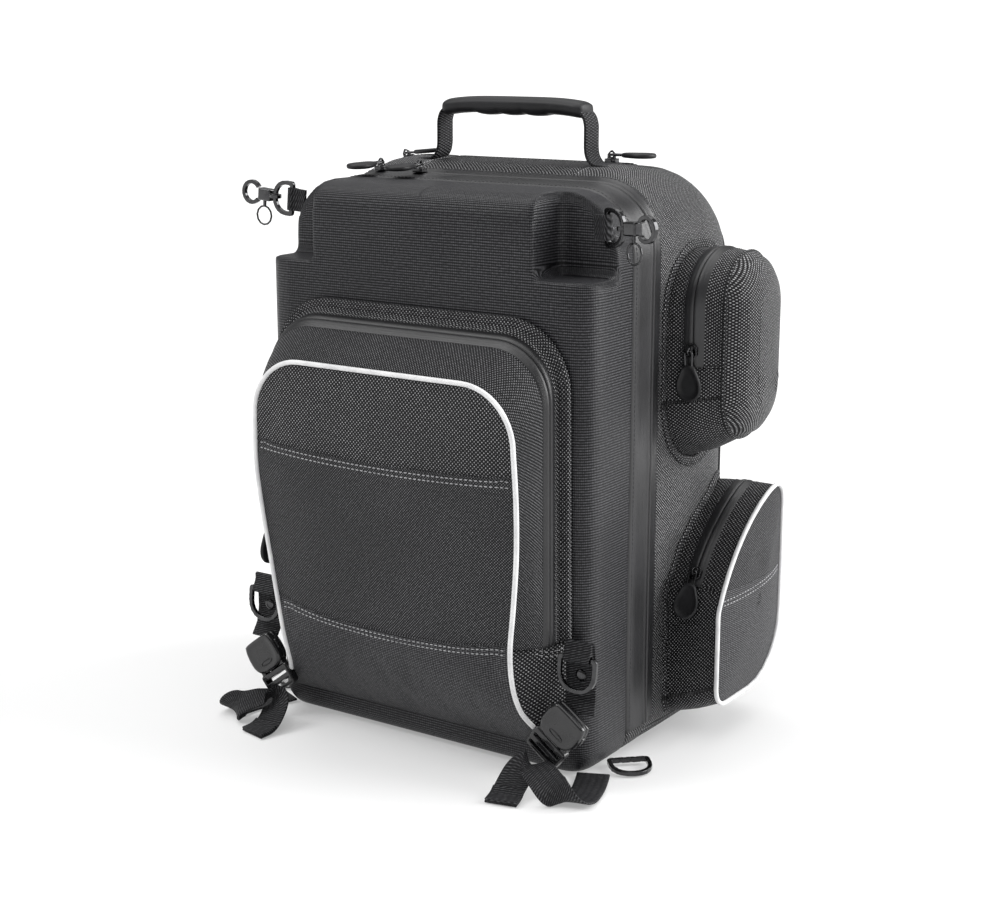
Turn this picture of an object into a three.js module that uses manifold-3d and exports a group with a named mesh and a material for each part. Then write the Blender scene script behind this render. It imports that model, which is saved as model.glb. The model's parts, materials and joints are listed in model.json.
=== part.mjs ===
// Motorcycle tail bag: an upright soft bag with a moulded clamshell front, a drop-down front pocket,
// four side pockets, a carrying handle, corner rings with snap shackles, and two buckled straps.
// Millimetres, +Z up, origin on the floor at the centre of the base, front towards -Y.
import * as THREE from 'three';
import { mergeVertices } from 'three/addons/utils/BufferGeometryUtils.js';
import Module from 'manifold-3d';

const wasm = await Module();
wasm.setup();

// ---------- driving dimensions ----------
const HALF_WIDTH = 148;
const SHELL_TOP = 430;
const SHELL_FRONT = -112;
const SHELL_REAR = -52;
const ZIP_LINE = -24;
const BODY_REAR = 112;
const CORNER = 48;
const SHELL_CORNER = 46;
const BASE_CORNER = 18;
const WALL = 4;
const SHELL_WALL = 3.5;
const POCKET_WALL = 3;
const GAP = 0.3;
const TOP_SEAM = 70;
const BASE_SEAM = 14;
const BACK_SEAM = 96;
const NOTCH_X = 100;
const NOTCH_Z = 370;
const NOTCH_BACK = -74;
const WEBBING = 25;
const WEBBING_THICK = 2;
const WIRE = 3.4;
const FAR = 600;

// ---------- materials ----------
const paint = (color, roughness, metalness = 0) => new THREE.MeshStandardMaterial({ color, roughness, metalness });
const shellFabric = paint(0x2b2b2f, 0.55);
const weave = paint(0x232326, 0.75);
const tape = paint(0x34343a, 0.5);
const board = paint(0x3a3a3a, 0.8);
const webbing = paint(0x161618, 0.8);
const rubber = paint(0x1d1d20, 0.65);
const metal = paint(0x2a2a2e, 0.25, 1);
const plastic = paint(0x101012, 0.3);

const bag = new THREE.Group();

// ---------- shape helpers ----------
function toSolid(geometry) {
  const bare = geometry.clone();
  for (const name of Object.keys(bare.attributes)) {
    if (name !== 'position') bare.deleteAttribute(name);
  }
  const merged = mergeVertices(bare, 1e-4);
  return new wasm.Manifold(new wasm.Mesh({
    numProp: 3,
    vertProperties: new Float32Array(merged.attributes.position.array),
    triVerts: new Uint32Array(merged.index.array),
  }));
}

function toGeometry(solid) {
  const mesh = solid.getMesh();
  const geometry = new THREE.BufferGeometry();
  geometry.setAttribute('position', new THREE.BufferAttribute(new Float32Array(mesh.vertProperties), 3));
  geometry.setIndex(new THREE.BufferAttribute(new Uint32Array(mesh.triVerts), 1));
  return geometry;
}

const cut = (base, ...tools) => toGeometry(tools.reduce((s, t) => s.subtract(toSolid(t)), toSolid(base)));
const join = (base, ...others) => toGeometry(others.reduce((s, t) => s.add(toSolid(t)), toSolid(base)));
const common = (a, b) => toGeometry(toSolid(a).intersect(toSolid(b)));

function box(low, high) {
  const size = high.map((v, i) => v - low[i]);
  const mid = high.map((v, i) => (v + low[i]) / 2);
  return new THREE.BoxGeometry(...size).translate(...mid);
}

// A convex outline with each corner rounded: corners are [u, v, radius], listed counter-clockwise.
function roundedLoop(corners, steps = 5) {
  const points = [];
  corners.forEach(([u, v, radius], i) => {
    const here = new THREE.Vector2(u, v);
    const before = new THREE.Vector2(...corners.at(i - 1)).sub(here).normalize();
    const after = new THREE.Vector2(...corners[(i + 1) % corners.length]).sub(here).normalize();
    const half = Math.acos(THREE.MathUtils.clamp(before.dot(after), -1, 1)) / 2;
    const centre = before.clone().add(after).normalize().multiplyScalar(radius / Math.sin(half)).add(here);
    const reach = radius / Math.tan(half);
    const first = here.clone().addScaledVector(before, reach).sub(centre);
    const sweep = Math.PI - 2 * half;
    for (let k = 0; k <= steps; k += 1) {
      const turned = first.clone().rotateAround(new THREE.Vector2(), sweep * k / steps);
      points.push(turned.add(centre));
    }
  });
  return points;
}

// A closed skin through rings of equal point count, with flat ends.
function loft(rings) {
  const count = rings[0].length;
  const position = rings.flat().flatMap((p) => [p.x, p.y, p.z]);
  const index = [];
  for (let r = 0; r < rings.length - 1; r += 1) {
    for (let i = 0; i < count; i += 1) {
      const a = r * count + i;
      const b = r * count + (i + 1) % count;
      index.push(a, b, a + count, b, b + count, a + count);
    }
  }
  const end = (rings.length - 1) * count;
  for (let i = 1; i < count - 1; i += 1) {
    index.push(0, i + 1, i);
    index.push(end, end + i, end + i + 1);
  }
  const geometry = new THREE.BufferGeometry();
  geometry.setAttribute('position', new THREE.BufferAttribute(new Float32Array(position), 3));
  geometry.setIndex(index);
  if (toSolid(geometry).volume() < 0) {
    geometry.setIndex(index.map((_, k) => index[k - (k % 3) + 2 - (k % 3)]));
  }
  return geometry;
}

const alongY = (loop, y) => loop.map((p) => new THREE.Vector3(p.x, y, p.y));
const alongX = (loop, x) => loop.map((p) => new THREE.Vector3(x, p.x, p.y));

function plate(points, thickness, bevel = 0) {
  return new THREE.ExtrudeGeometry(new THREE.Shape(points), {
    depth: thickness - 2 * bevel,
    bevelEnabled: bevel > 0,
    bevelThickness: bevel,
    bevelSize: bevel,
    bevelOffset: -bevel,
    bevelSegments: 1,
  }).translate(0, 0, bevel - thickness / 2);
}

function holedPlate(points, hole, thickness) {
  const shape = new THREE.Shape(points);
  shape.holes.push(new THREE.Path(hole));
  return new THREE.ExtrudeGeometry(shape, { depth: thickness, bevelEnabled: false }).translate(0, 0, -thickness / 2);
}

// A flat ribbon along points; across is the direction of its width at its start, acrossEnd at its end.
function ribbon(points, across, width, thickness, acrossEnd = across) {
  const spots = points.map((p) => new THREE.Vector3(...p));
  const rings = spots.map((p, i) => {
    const side = new THREE.Vector3(...across).lerp(new THREE.Vector3(...acrossEnd), i / (spots.length - 1));
    side.normalize();
    const ahead = spots[Math.min(i + 1, spots.length - 1)].clone().sub(spots[Math.max(i - 1, 0)]);
    const up = new THREE.Vector3().crossVectors(side, ahead).normalize().multiplyScalar(thickness / 2);
    const half = side.clone().multiplyScalar(width / 2);
    return [[-1, -1], [1, -1], [1, 1], [-1, 1]].map(([s, t]) => (
      p.clone().addScaledVector(half, s).addScaledVector(up, t)
    ));
  });
  return loft(rings);
}

function mirrored(geometry) {
  const copy = geometry.index ? geometry.clone() : mergeVertices(geometry);
  copy.scale(-1, 1, 1);
  const index = Array.from(copy.index.array);
  copy.setIndex(index.map((_, k) => index[k - (k % 3) + 2 - (k % 3)]));
  return copy;
}

function add(name, geometry, material, parent = bag) {
  const mesh = new THREE.Mesh(geometry, material);
  mesh.name = name;
  parent.add(mesh);
  return mesh;
}

function addPair(stem, geometry, material) {
  add(`${stem}_right`, geometry, material);
  add(`${stem}_left`, mirrored(geometry), material);
}

// ---------- body: top, two side gussets, base and back around one compartment ----------
const bodyStations = [
  { y: ZIP_LINE + 1.3, half: HALF_WIDTH, top: 431.5, bottom: 0 },
  { y: -8, half: 148.5, top: 437, bottom: 0 },
  { y: 20, half: 149, top: 441.5, bottom: 0 },
  { y: 50, half: 149, top: 440.5, bottom: 0 },
  { y: 74, half: 149, top: 434, bottom: 0 },
  { y: 92, half: 148, top: 421, bottom: 2 },
  { y: 104, half: 142, top: 404, bottom: 7 },
  { y: 110, half: 132, top: 387, bottom: 14 },
  { y: BODY_REAR, half: 119, top: 370, bottom: 24 },
];

function uprightLoop({ half, top, bottom }, inset = 0, corner = CORNER) {
  const w = half - inset;
  const r = corner - inset;
  const foot = BASE_CORNER - Math.min(inset, WALL);
  return roundedLoop([
    [-w, bottom + inset, foot], [w, bottom + inset, foot], [w, top - inset, r], [-w, top - inset, r],
  ]);
}

function bodySkin(inset, front, rear) {
  const stations = bodyStations.map((s) => ({ ...s }));
  stations[0].y = front;
  const kept = stations.filter((s) => s.y < Math.min(rear, BODY_REAR));
  kept.push({ ...stations[kept.length], y: rear });
  return loft(kept.map((s) => alongY(uprightLoop(s, inset), s.y)));
}

const bodyOuter = bodySkin(0, bodyStations[0].y, BODY_REAR);
const bodyWalls = cut(bodyOuter, bodySkin(WALL, bodyStations[0].y - 5, BODY_REAR - WALL));
const half = GAP / 2;
const front = -FAR;
const piece = (low, high) => common(bodyWalls, box(low, high));
add('base_panel', piece([-FAR, front, -FAR], [FAR, BACK_SEAM - half, BASE_SEAM - half]), weave);
add('top_panel', piece([-TOP_SEAM + half, front, FAR / 2], [TOP_SEAM - half, BACK_SEAM - half, FAR]), weave);
addPair('side_gusset', piece([TOP_SEAM + half, front, BASE_SEAM + half], [FAR, BACK_SEAM - half, FAR]), weave);
add('back_panel', piece([-FAR, BACK_SEAM + half, -FAR], [FAR, FAR, FAR]), weave);
const BOARD_HALF = 128;
const BOARD_FRONT = -18;
const BOARD_REAR = 72;
const BOARD_CORNER = 14;
const BOARD_THICK = 3;
const boardOutline = roundedLoop([
  [-BOARD_HALF, BOARD_FRONT, BOARD_CORNER], [BOARD_HALF, BOARD_FRONT, BOARD_CORNER],
  [BOARD_HALF, BOARD_REAR, BOARD_CORNER], [-BOARD_HALF, BOARD_REAR, BOARD_CORNER],
], 3);
add('base_board', plate(boardOutline, BOARD_THICK).translate(0, 0, WALL + GAP + BOARD_THICK / 2), board);

// ---------- moulded clamshell front with two notched top corners ----------
const shellStations = [
  { y: SHELL_REAR, half: 148, top: SHELL_TOP, bottom: 0 },
  { y: -80, half: 148, top: SHELL_TOP, bottom: 0 },
  { y: -95, half: 147.5, top: 429.5, bottom: 0.5 },
  { y: -104, half: 144, top: 427, bottom: 2.5 },
  { y: -109.5, half: 136.5, top: 422.5, bottom: 6 },
  { y: SHELL_FRONT, half: 124, top: 414, bottom: 12 },
];
const notch = (grow) => box([NOTCH_X - grow, -FAR, NOTCH_Z - grow], [FAR, NOTCH_BACK + grow, FAR]);

function shellSkin(inset, rear) {
  const stations = shellStations.map((s, i) => ({ ...s, y: i === 0 ? rear : Math.max(s.y, SHELL_FRONT + inset) }));
  const skin = loft(stations.map((s) => alongY(uprightLoop(s, inset, SHELL_CORNER), s.y)));
  return cut(skin, notch(inset), mirrored(notch(inset)));
}

add('shell_tray', cut(shellSkin(0, SHELL_REAR), shellSkin(SHELL_WALL, SHELL_REAR + 5)), shellFabric);

const bandStations = [
  { y: SHELL_REAR + GAP, half: 147, top: SHELL_TOP - 1, bottom: 0.3 },
  { y: ZIP_LINE + 0.7, half: HALF_WIDTH, top: 431.5, bottom: 0.3 },
];
const bandRing = (inset, slack) => loft(bandStations.map((s, i) => (
  alongY(uprightLoop(s, inset), s.y + slack * (2 * i - 1))
)));
const bandWalls = cut(bandRing(0, 0), bandRing(3, 2));

// ---------- front pocket: fixed base and gusset, drop-down cover ----------
const FRONT_HINGE_Z = 108;
const FRONT_ZIP_Y = -130;
const FRONT_FACE = -164;
const FRONT_FOOT_CORNER = 24;
// back is how far an inset skin moves back at that station, as a share of the inset.
const frontShape = [
  { y: SHELL_FRONT - GAP, low: 22, foot: 134, top: 343, head: 127, corner: 44, back: 2 },
  { y: -118, low: 42, foot: 130, top: 335, head: 126.5, corner: 44, back: 0 },
  { y: -142, low: 86, foot: 126, top: 320, head: 125, corner: 42, back: 0 },
  { y: -159, low: 114, foot: 123, top: 309, head: 122, corner: 40, back: 0.5 },
  { y: FRONT_FACE, low: 124, foot: 116, top: 301, head: 115, corner: 38, back: 1 },
];
const frontSkin = (inset) => loft(frontShape.map(({ y, low, foot, top, head, corner, back }) => alongY(roundedLoop([
  [-foot + inset, low + inset, FRONT_FOOT_CORNER], [foot - inset, low + inset, FRONT_FOOT_CORNER],
  [head - inset, top - inset, corner - inset], [-head + inset, top - inset, corner - inset],
]), y + inset * back)));
const frontWalls = cut(frontSkin(0), frontSkin(POCKET_WALL));
const frontCoverZone = box([-FAR, -FAR, FRONT_HINGE_Z], [FAR, FRONT_ZIP_Y, FAR]);
const frontKeepZone = box([-FAR, -FAR, FRONT_HINGE_Z - GAP], [FAR, FRONT_ZIP_Y + GAP, FAR]);
add('front_pocket_cover', common(frontWalls, frontCoverZone), weave);
add('front_pocket_base', cut(frontWalls, frontKeepZone), weave);

// ---------- side pockets ----------
const UPPER_SEAM = 297;
const LOWER_SEAM = 124;
const SIDE_ZIP_X = 170;
const SIDE_START = 130;
const bodyClear = bodySkin(-GAP, bodyStations[0].y, BODY_REAR + GAP);

const OVAL_ROUND = 0.96;
const oval = (y, z, halfY, halfZ) => roundedLoop([
  [y - halfY, z - halfZ, halfY * OVAL_ROUND], [y + halfY, z - halfZ, halfY * OVAL_ROUND],
  [y + halfY, z + halfZ, halfY * OVAL_ROUND], [y - halfY, z + halfZ, halfY * OVAL_ROUND],
]);
const upperRings = (t) => [
  alongX(oval(45, 301, 48 - t, 80 - t), SIDE_START),
  alongX(oval(45, 301, 48 - t, 80 - t), 149),
  alongX(oval(46, 305, 44 - t, 77 - t), 172),
  alongX(oval(48, 310, 36 - t, 70 - t), 194),
  alongX(oval(48, 310, 30 - t, 63 - t), 204 - t / 2),
  alongX(oval(48, 310, 19 - t / 2, 48 - t), 210 - t),
];

// Rounded triangle-like outline: flat base, upright front and rear, and a sloping top edge on one large arc.
const ARC_Y = 140;
const ARC_Z = 48;
const ARC_R = 150;
const ARC_STEPS = 9;
const ARC_TAIL = 9;
const FOOT_STEPS = 4;
const REAR_SHOULDER = 150;
const FRONT_SHOULDER = 100;
function leaf(frontY, rearY, bottom, inset) {
  const r = ARC_R - inset;
  const start = Math.acos((ARC_Y - frontY - inset) / r);
  const finish = Math.acos((ARC_Y - rearY + inset + ARC_TAIL) / r);
  const foot = roundedLoop([
    [frontY + inset, bottom + inset, 14 - inset], [rearY - inset, bottom + inset, 16 - inset],
    [rearY - inset, REAR_SHOULDER, 4], [frontY + inset, FRONT_SHOULDER, 4],
  ], FOOT_STEPS);
  const points = foot.slice(0, 2 * (FOOT_STEPS + 1));
  for (let k = 0; k <= ARC_STEPS; k += 1) {
    const angle = finish + (start - finish) * k / ARC_STEPS;
    points.push(new THREE.Vector2(ARC_Y - r * Math.cos(angle), ARC_Z + r * Math.sin(angle)));
  }
  return points;
}
const lowerRings = (t) => [
  alongX(leaf(9, 108, 14, t), SIDE_START),
  alongX(leaf(9, 108, 14, t), 149),
  alongX(leaf(5, 109, 24, t), 176),
  alongX(leaf(3, 110, 33, t), 196 - t / 3),
  alongX(leaf(10, 104, 40, t), 201 - t),
];

function sidePocket(stem, rings, seam) {
  const walls = cut(loft(rings(0)), loft(rings(POCKET_WALL)), bodyClear);
  add(`${stem}_cover_right`, common(walls, box([SIDE_ZIP_X, -FAR, seam], [FAR, FAR, FAR])), weave);
  add(`${stem}_cover_left`, mirrored(bag.children.at(-1).geometry), weave);
  addPair(`${stem}_base`, cut(walls, box([SIDE_ZIP_X - GAP, -FAR, seam - GAP], [FAR, FAR, FAR])), weave);
}
sidePocket('upper_pocket', upperRings, UPPER_SEAM);
sidePocket('lower_pocket', lowerRings, LOWER_SEAM);

// ---------- zipper sliders with rubber pulls: pull along local +X, hinge along local Y ----------
const LUG_HEIGHT = 6.4;

function sliderBody() {
  const body = plate(roundedLoop([[-5, -5, 2], [5, -5, 2], [5, 5, 2], [-5, 5, 2]], 1), 3.4).translate(0, 0, 1.7);
  const lug = holedPlate(
    roundedLoop([[-3.4, 2.4, 0.5], [3.4, 2.4, 0.5], [3.4, 9.8, 3], [-3.4, 9.8, 3]], 1),
    roundedLoop([[-1.7, 4.7, 0.6], [1.7, 4.7, 0.6], [1.7, 8.1, 0.6], [-1.7, 8.1, 0.6]], 1).reverse(),
    2.4,
  ).rotateX(Math.PI / 2);
  return join(body, lug);
}

function sliderPull() {
  const pad = plate(roundedLoop([[10, -10, 9.5], [38, -11, 10.5], [38, 11, 10.5], [10, 10, 9.5]], 3), 4);
  const frame = holedPlate(
    roundedLoop([[-0.7, -4.6, 1], [12, -4.6, 1], [12, 4.6, 1], [-0.7, 4.6, 1]], 1),
    roundedLoop([[0.7, -3.2, 0.7], [9.4, -3.2, 0.7], [9.4, 3.2, 0.7], [0.7, 3.2, 0.7]], 1).reverse(),
    1.4,
  );
  return join(pad, frame);
}

// along and outward are world directions; tilt lowers the pull towards the surface, in degrees.
function addSlider(stem, place, along, outward, tilt) {
  const x = new THREE.Vector3(...along).normalize();
  const z = new THREE.Vector3(...outward).normalize();
  const y = new THREE.Vector3().crossVectors(z, x);
  const group = new THREE.Group();
  group.applyMatrix4(new THREE.Matrix4().makeBasis(x, y, z).setPosition(...place));
  add(`${stem}_slider`, sliderBody(), metal, group);
  const pull = add(`${stem}_pull`, sliderPull(), rubber, group);
  pull.position.z = LUG_HEIGHT;
  pull.rotation.y = THREE.MathUtils.degToRad(tilt);
  bag.add(group);
}

const REAR_ZIP_Y = 42;
addSlider('main_zip_left', [-100, ZIP_LINE, 433.2], [0, -1, 0], [0, 0, 1], 3);
addSlider('main_zip_right', [-62, ZIP_LINE, 433.2], [0, -1, 0], [0, 0, 1], 3);
addSlider('rear_zip_left', [-121.5, REAR_ZIP_Y, 436.6], [0.906, 0, 0.423], [-0.423, 0, 0.906], 19);
addSlider('rear_zip_right', [74, REAR_ZIP_Y, 441.8], [1, 0, 0], [0, 0, 1], 0);
addSlider('front_pocket', [-129.5, FRONT_ZIP_Y, 165], [0, 0, -1], [-1, 0, 0], 0);
for (const [side, sign] of [['right', 1], ['left', -1]]) {
  addSlider(`upper_pocket_${side}`, [sign * SIDE_ZIP_X, 0.2, 310], [0, 0, -1], [0, -1, 0], 4);
  addSlider(`lower_pocket_${side}`, [sign * SIDE_ZIP_X, 15.8, 133.2], [0, -0.565, -0.825], [0, -0.825, 0.565], 10);
}

// ---------- carrying handle ----------
const HANDLE_Y = 20;
const HANDLE_LEG = 68;
const HANDLE_TOP = 484;
const HANDLE_WIDTH = 20;
const handlePath = [
  [-HANDLE_LEG - 1, HANDLE_Y, 440], [-HANDLE_LEG, HANDLE_Y, 466], [-HANDLE_LEG + 2, HANDLE_Y, 476],
  [-HANDLE_LEG + 8, HANDLE_Y, HANDLE_TOP], [HANDLE_LEG - 8, HANDLE_Y, HANDLE_TOP],
  [HANDLE_LEG - 2, HANDLE_Y, 476], [HANDLE_LEG, HANDLE_Y, 466], [HANDLE_LEG + 1, HANDLE_Y, 440],
];
// The legs end in half rounds centred on the fold line, so the handle can lie over either way.
const HANDLE_FOLD = 452.2;
const legFoot = new THREE.CylinderGeometry(HANDLE_WIDTH / 2, HANDLE_WIDTH / 2, 3 * HANDLE_LEG, 16)
  .rotateZ(Math.PI / 2)
  .translate(0, HANDLE_Y, HANDLE_FOLD);
const aboveFold = box([-FAR, -FAR, HANDLE_FOLD], [FAR, FAR, FAR]);
const handleStrap = ribbon(handlePath, [0, 1, 0], HANDLE_WIDTH, 2.6);
add('handle_webbing', common(handleStrap, join(aboveFold, legFoot)), webbing);
const gripEnds = roundedLoop([[-12, -6, 5], [12, -6, 5], [12, 7, 6], [-12, 7, 6]], 3);
const gripStations = [[-63, 0.8], [-56, 1], [56, 1], [63, 0.8]];
const gripSkin = loft(gripStations.map(([x, scale]) => (
  alongX(gripEnds.map((p) => p.clone().multiplyScalar(scale)), x)
))).translate(0, HANDLE_Y, HANDLE_TOP);
const gripSlot = ribbon(handlePath.slice(2, 6), [0, 1, 0], HANDLE_WIDTH + 0.6, 3.4);
add('handle_grip', cut(gripSkin, gripSlot), rubber);

// ---------- D-rings, webbing tabs and snap shackles ----------
// A D-ring lies in its local XY plane, its bar along Y at x = 0 and its bow towards +X.
function dRing(width, height) {
  const w = width / 2;
  const bow = w - 1;
  const outline = (shrink) => roundedLoop([
    [shrink - WIRE / 2, -w + shrink, 3 - shrink / 2], [height - WIRE / 2 - shrink, -w + shrink, bow - shrink],
    [height - WIRE / 2 - shrink, w - shrink, bow - shrink], [shrink - WIRE / 2, w - shrink, 3 - shrink / 2],
  ], 5);
  return holedPlate(outline(0), outline(WIRE).reverse(), WIRE);
}

// A folded webbing tab from x = -length to an eye round x = 0, its width along Y.
function webbingTab(length, width) {
  const outline = [];
  const eye = 4;
  const steps = 8;
  for (let k = 0; k <= steps; k += 1) {
    const angle = -2.45 + 4.9 * k / steps;
    outline.push(new THREE.Vector2(eye * Math.cos(angle), eye * Math.sin(angle)));
  }
  outline.push(new THREE.Vector2(-7, 1.2), new THREE.Vector2(-length, 1.2));
  outline.push(new THREE.Vector2(-length, -1.2), new THREE.Vector2(-7, -1.2));
  const hole = new THREE.Path().absarc(0, 0, 2.7, 0, 2 * Math.PI, true).getPoints(8);
  return holedPlate(outline, hole.slice(0, -1), width).rotateX(Math.PI / 2);
}

const cylinder = (radius, length, sides = 10) => new THREE.CylinderGeometry(radius, radius, length, sides);

// Snap shackle along local +X from the bow it hangs on at x = 0: eye, block with a plunger bore, curved jaw.
const BLOCK_START = 4;
const BLOCK_END = 16;
const JAW_R = 10;
function shackleBody() {
  const eye = cylinder(5, 3.2, 12);
  const block = plate(roundedLoop([
    [BLOCK_START - 1, -5, 1.5], [BLOCK_END, -5, 1], [BLOCK_END, 5, 1], [BLOCK_START - 1, 5, 1.5],
  ], 2), 8, 1);
  return cut(join(eye, block), cylinder(2.8, 20, 12), cylinder(2, 5, 10).translate(11, -4, 0));
}
function shackleJaw() {
  const arc = (radius, from, to) => (
    new THREE.Path().absarc(BLOCK_END + 8.6, 0, radius, from, to, to < from).getPoints(9)
  );
  const open = 2.55;
  return plate([...arc(JAW_R, -open, open), ...arc(JAW_R - 3.2, open, -open)], 3.6);
}
function shacklePlunger() {
  const pin = cylinder(1.5, 8, 8).translate(11, -6, 0);
  const profile = new THREE.Path().absarc(7.6, 0, 0.9, 0, 2 * Math.PI).getPoints(4);
  const ring = new THREE.LatheGeometry(profile, 12).rotateX(Math.PI / 2).translate(11, -17.2, 0);
  return join(pin, ring);
}

function placed(geometry, matrix) {
  return geometry.clone().applyMatrix4(matrix);
}

function basis(place, along, across) {
  const x = new THREE.Vector3(...along).normalize();
  const z = new THREE.Vector3().crossVectors(x, new THREE.Vector3(...across)).normalize();
  const y = new THREE.Vector3().crossVectors(z, x);
  return new THREE.Matrix4().makeBasis(x, y, z).setPosition(...place);
}

// Top corner: tab, ring and shackle, standing outwards as the webbing holds them.
const TOP_RING = 21;
function cornerShackle(side, place, along) {
  const frame = basis(place, along, [0, 0, 1]);
  add(`corner_tab_${side}`, placed(webbingTab(14, 18), frame), webbing);
  add(`corner_ring_${side}`, placed(dRing(28, TOP_RING), frame), metal);
  const link = frame.clone().multiply(new THREE.Matrix4().makeTranslation(TOP_RING - WIRE, 0, 0));
  add(`shackle_body_${side}`, placed(shackleBody(), link), metal);
  add(`shackle_jaw_${side}`, placed(shackleJaw(), link), metal);
  add(`shackle_plunger_${side}`, placed(shacklePlunger(), link), metal);
}
cornerShackle('left', [-161, -62, 410], [-1, 0, 0.09]);
cornerShackle('right', [144, -82, 407], [0.94, -0.34, 0.05]);

// Bottom corner: a ring lying flat on the floor beside the base, its tab sewn into the zipper band.
const baseRingFrame = basis([157, -63, 4.2], [0.68, -0.73, -0.07], [0.73, 0.68, 0]);
addPair('base_ring', placed(dRing(33, 26), baseRingFrame), metal);
const baseTab = join(
  webbingTab(12, 20).applyMatrix4(baseRingFrame),
  ribbon([[143.4, -40, 9], [146.5, -49, 6], [150, -56.5, 4.4]], [0, 1, 0], 18, 2.4, [0.73, 0.68, 0]),
);
const shellClear = loft(shellStations.map((s) => alongY(uprightLoop(s, -GAP, SHELL_CORNER), s.y)));
const rightTab = cut(baseTab, shellClear);
add('shell_zipper_band', join(bandWalls, rightTab, mirrored(rightTab)), tape);

// ---------- front straps: ring webbing, D-ring, side-release buckle and floor loop ----------
const BUCKLE_TOP = [150, -131, 61];
const BUCKLE_ALONG = [-0.6, 0, -0.8];
const SOCKET_LENGTH = 28;
function buckleSocket() {
  const body = plate(roundedLoop([[0, -17, 4], [SOCKET_LENGTH, -17, 2], [SOCKET_LENGTH, 17, 2], [0, 17, 4]], 3), 11, 1);
  const mouth = box([5, -14, -3.4], [SOCKET_LENGTH + 5, 14, 3.4]);
  const windows = box([9, -20, -3.4], [21, 20, 3.4]);
  return cut(body, mouth, windows);
}
function bucklePlug() {
  const foot = plate(roundedLoop([
    [SOCKET_LENGTH + GAP, -16, 2], [46, -15, 3], [46, 15, 3], [SOCKET_LENGTH + GAP, 16, 2],
  ], 3), 8, 1);
  const prong = box([8, 9.6, -3], [SOCKET_LENGTH + 4, 13.6, 3]);
  const guide = box([12, -2, -3], [SOCKET_LENGTH + 4, 2, 3]);
  const slots = [box([33, -12.8, -9], [36, 12.8, 9]), box([40, -12.8, -9], [43, 12.8, 9])];
  return cut(join(foot, prong, prong.clone().translate(0, -23.2, 0), guide), ...slots);
}

function frontStrap(side) {
  const flip = (geometry) => (side === 'right' ? geometry : mirrored(geometry));
  const frame = basis(BUCKLE_TOP, BUCKLE_ALONG, [0.8, 0, -0.6]);
  const ringFrame = basis([148, -122.5, 101], [0, -0.1, -1], [1, 0, 0]);
  const tab = webbingTab(12, 22).applyMatrix4(ringFrame);
  const strip = ribbon([[148, -119.6, 113], [148, -117.2, 98], [148, -117, 84], [149, -119, 70], [150.5, -123.6, 60]],
    [1, 0, 0], WEBBING, WEBBING_THICK);
  add(`front_webbing_${side}`, flip(join(tab, strip)), webbing);
  add(`front_ring_${side}`, flip(placed(dRing(33, 28), ringFrame)), metal);
  add(`buckle_socket_${side}`, flip(placed(buckleSocket(), frame)), plastic);
  add(`buckle_plug_${side}`, flip(placed(bucklePlug(), frame)), plastic);
}
frontStrap('right');
frontStrap('left');

// The strap runs from the shell's foot over the floor, up to the plug, and its loose tail comes down again.
const strapRoute = [
  [147, -97, 2.2], [151, -106, 1.6], [158, -124, 1.6], [162, -142, 2], [160, -154, 6], [150, -158, 13],
  [136, -152, 19], [124, -146, 21], [117, -150, 17], [115, -160, 8], [116, -168, 3], [118, -178, 1.6],
];
const strap = ribbon(strapRoute, [0.9, 0.42, 0], WEBBING, 1.8, [0.99, 0.1, 0]);
addPair('strap', strap, webbing);

export default bag;
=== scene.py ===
import json
import math

import bmesh
import bpy
import numpy as np
from mathutils import Matrix, Vector
from mathutils.bvhtree import BVHTree


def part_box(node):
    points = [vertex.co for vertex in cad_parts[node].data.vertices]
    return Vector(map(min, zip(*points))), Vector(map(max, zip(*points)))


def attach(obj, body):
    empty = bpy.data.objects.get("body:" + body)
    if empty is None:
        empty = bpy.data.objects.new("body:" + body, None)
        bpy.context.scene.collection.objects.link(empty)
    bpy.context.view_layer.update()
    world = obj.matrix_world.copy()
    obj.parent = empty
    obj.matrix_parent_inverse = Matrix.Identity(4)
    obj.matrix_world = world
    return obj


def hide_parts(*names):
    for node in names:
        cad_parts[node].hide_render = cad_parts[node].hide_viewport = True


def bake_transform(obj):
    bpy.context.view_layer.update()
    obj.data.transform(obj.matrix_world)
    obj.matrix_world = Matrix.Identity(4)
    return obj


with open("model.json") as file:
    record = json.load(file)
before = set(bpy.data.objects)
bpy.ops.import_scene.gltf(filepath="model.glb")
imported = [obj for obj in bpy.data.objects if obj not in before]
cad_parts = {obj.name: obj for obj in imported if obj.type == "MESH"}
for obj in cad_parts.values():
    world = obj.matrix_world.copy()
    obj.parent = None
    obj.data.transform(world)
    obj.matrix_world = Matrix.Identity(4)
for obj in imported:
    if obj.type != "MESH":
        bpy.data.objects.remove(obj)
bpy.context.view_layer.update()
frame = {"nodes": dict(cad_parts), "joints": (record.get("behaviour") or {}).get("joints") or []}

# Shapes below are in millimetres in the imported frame; make() turns them into metres.
MM = 0.001
SIDES = (("right", 1), ("left", -1))
CLOTH, THIN_CLOTH, SHELL_SKIN = 1.6, 1.5, 3.2
BAG_MIDDLE, SHELL_MIDDLE = (0, 30, 200), (0, -60, 210)
scene = bpy.context.scene
joints = {j["name"]: j for j in frame["joints"]}


def vertices(node):
    """The CAD node's points, in mm."""
    return np.array([v.co for v in frame["nodes"][node].data.vertices]) / MM


def limits(node):
    """The low and high corners of the CAD node's box, in mm."""
    low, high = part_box(node)
    return np.array(low) / MM, np.array(high) / MM


def anchor(joint):
    """A point on the joint's axis, in mm."""
    return np.array(joints[joint]["pos_m"]) / MM


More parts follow.
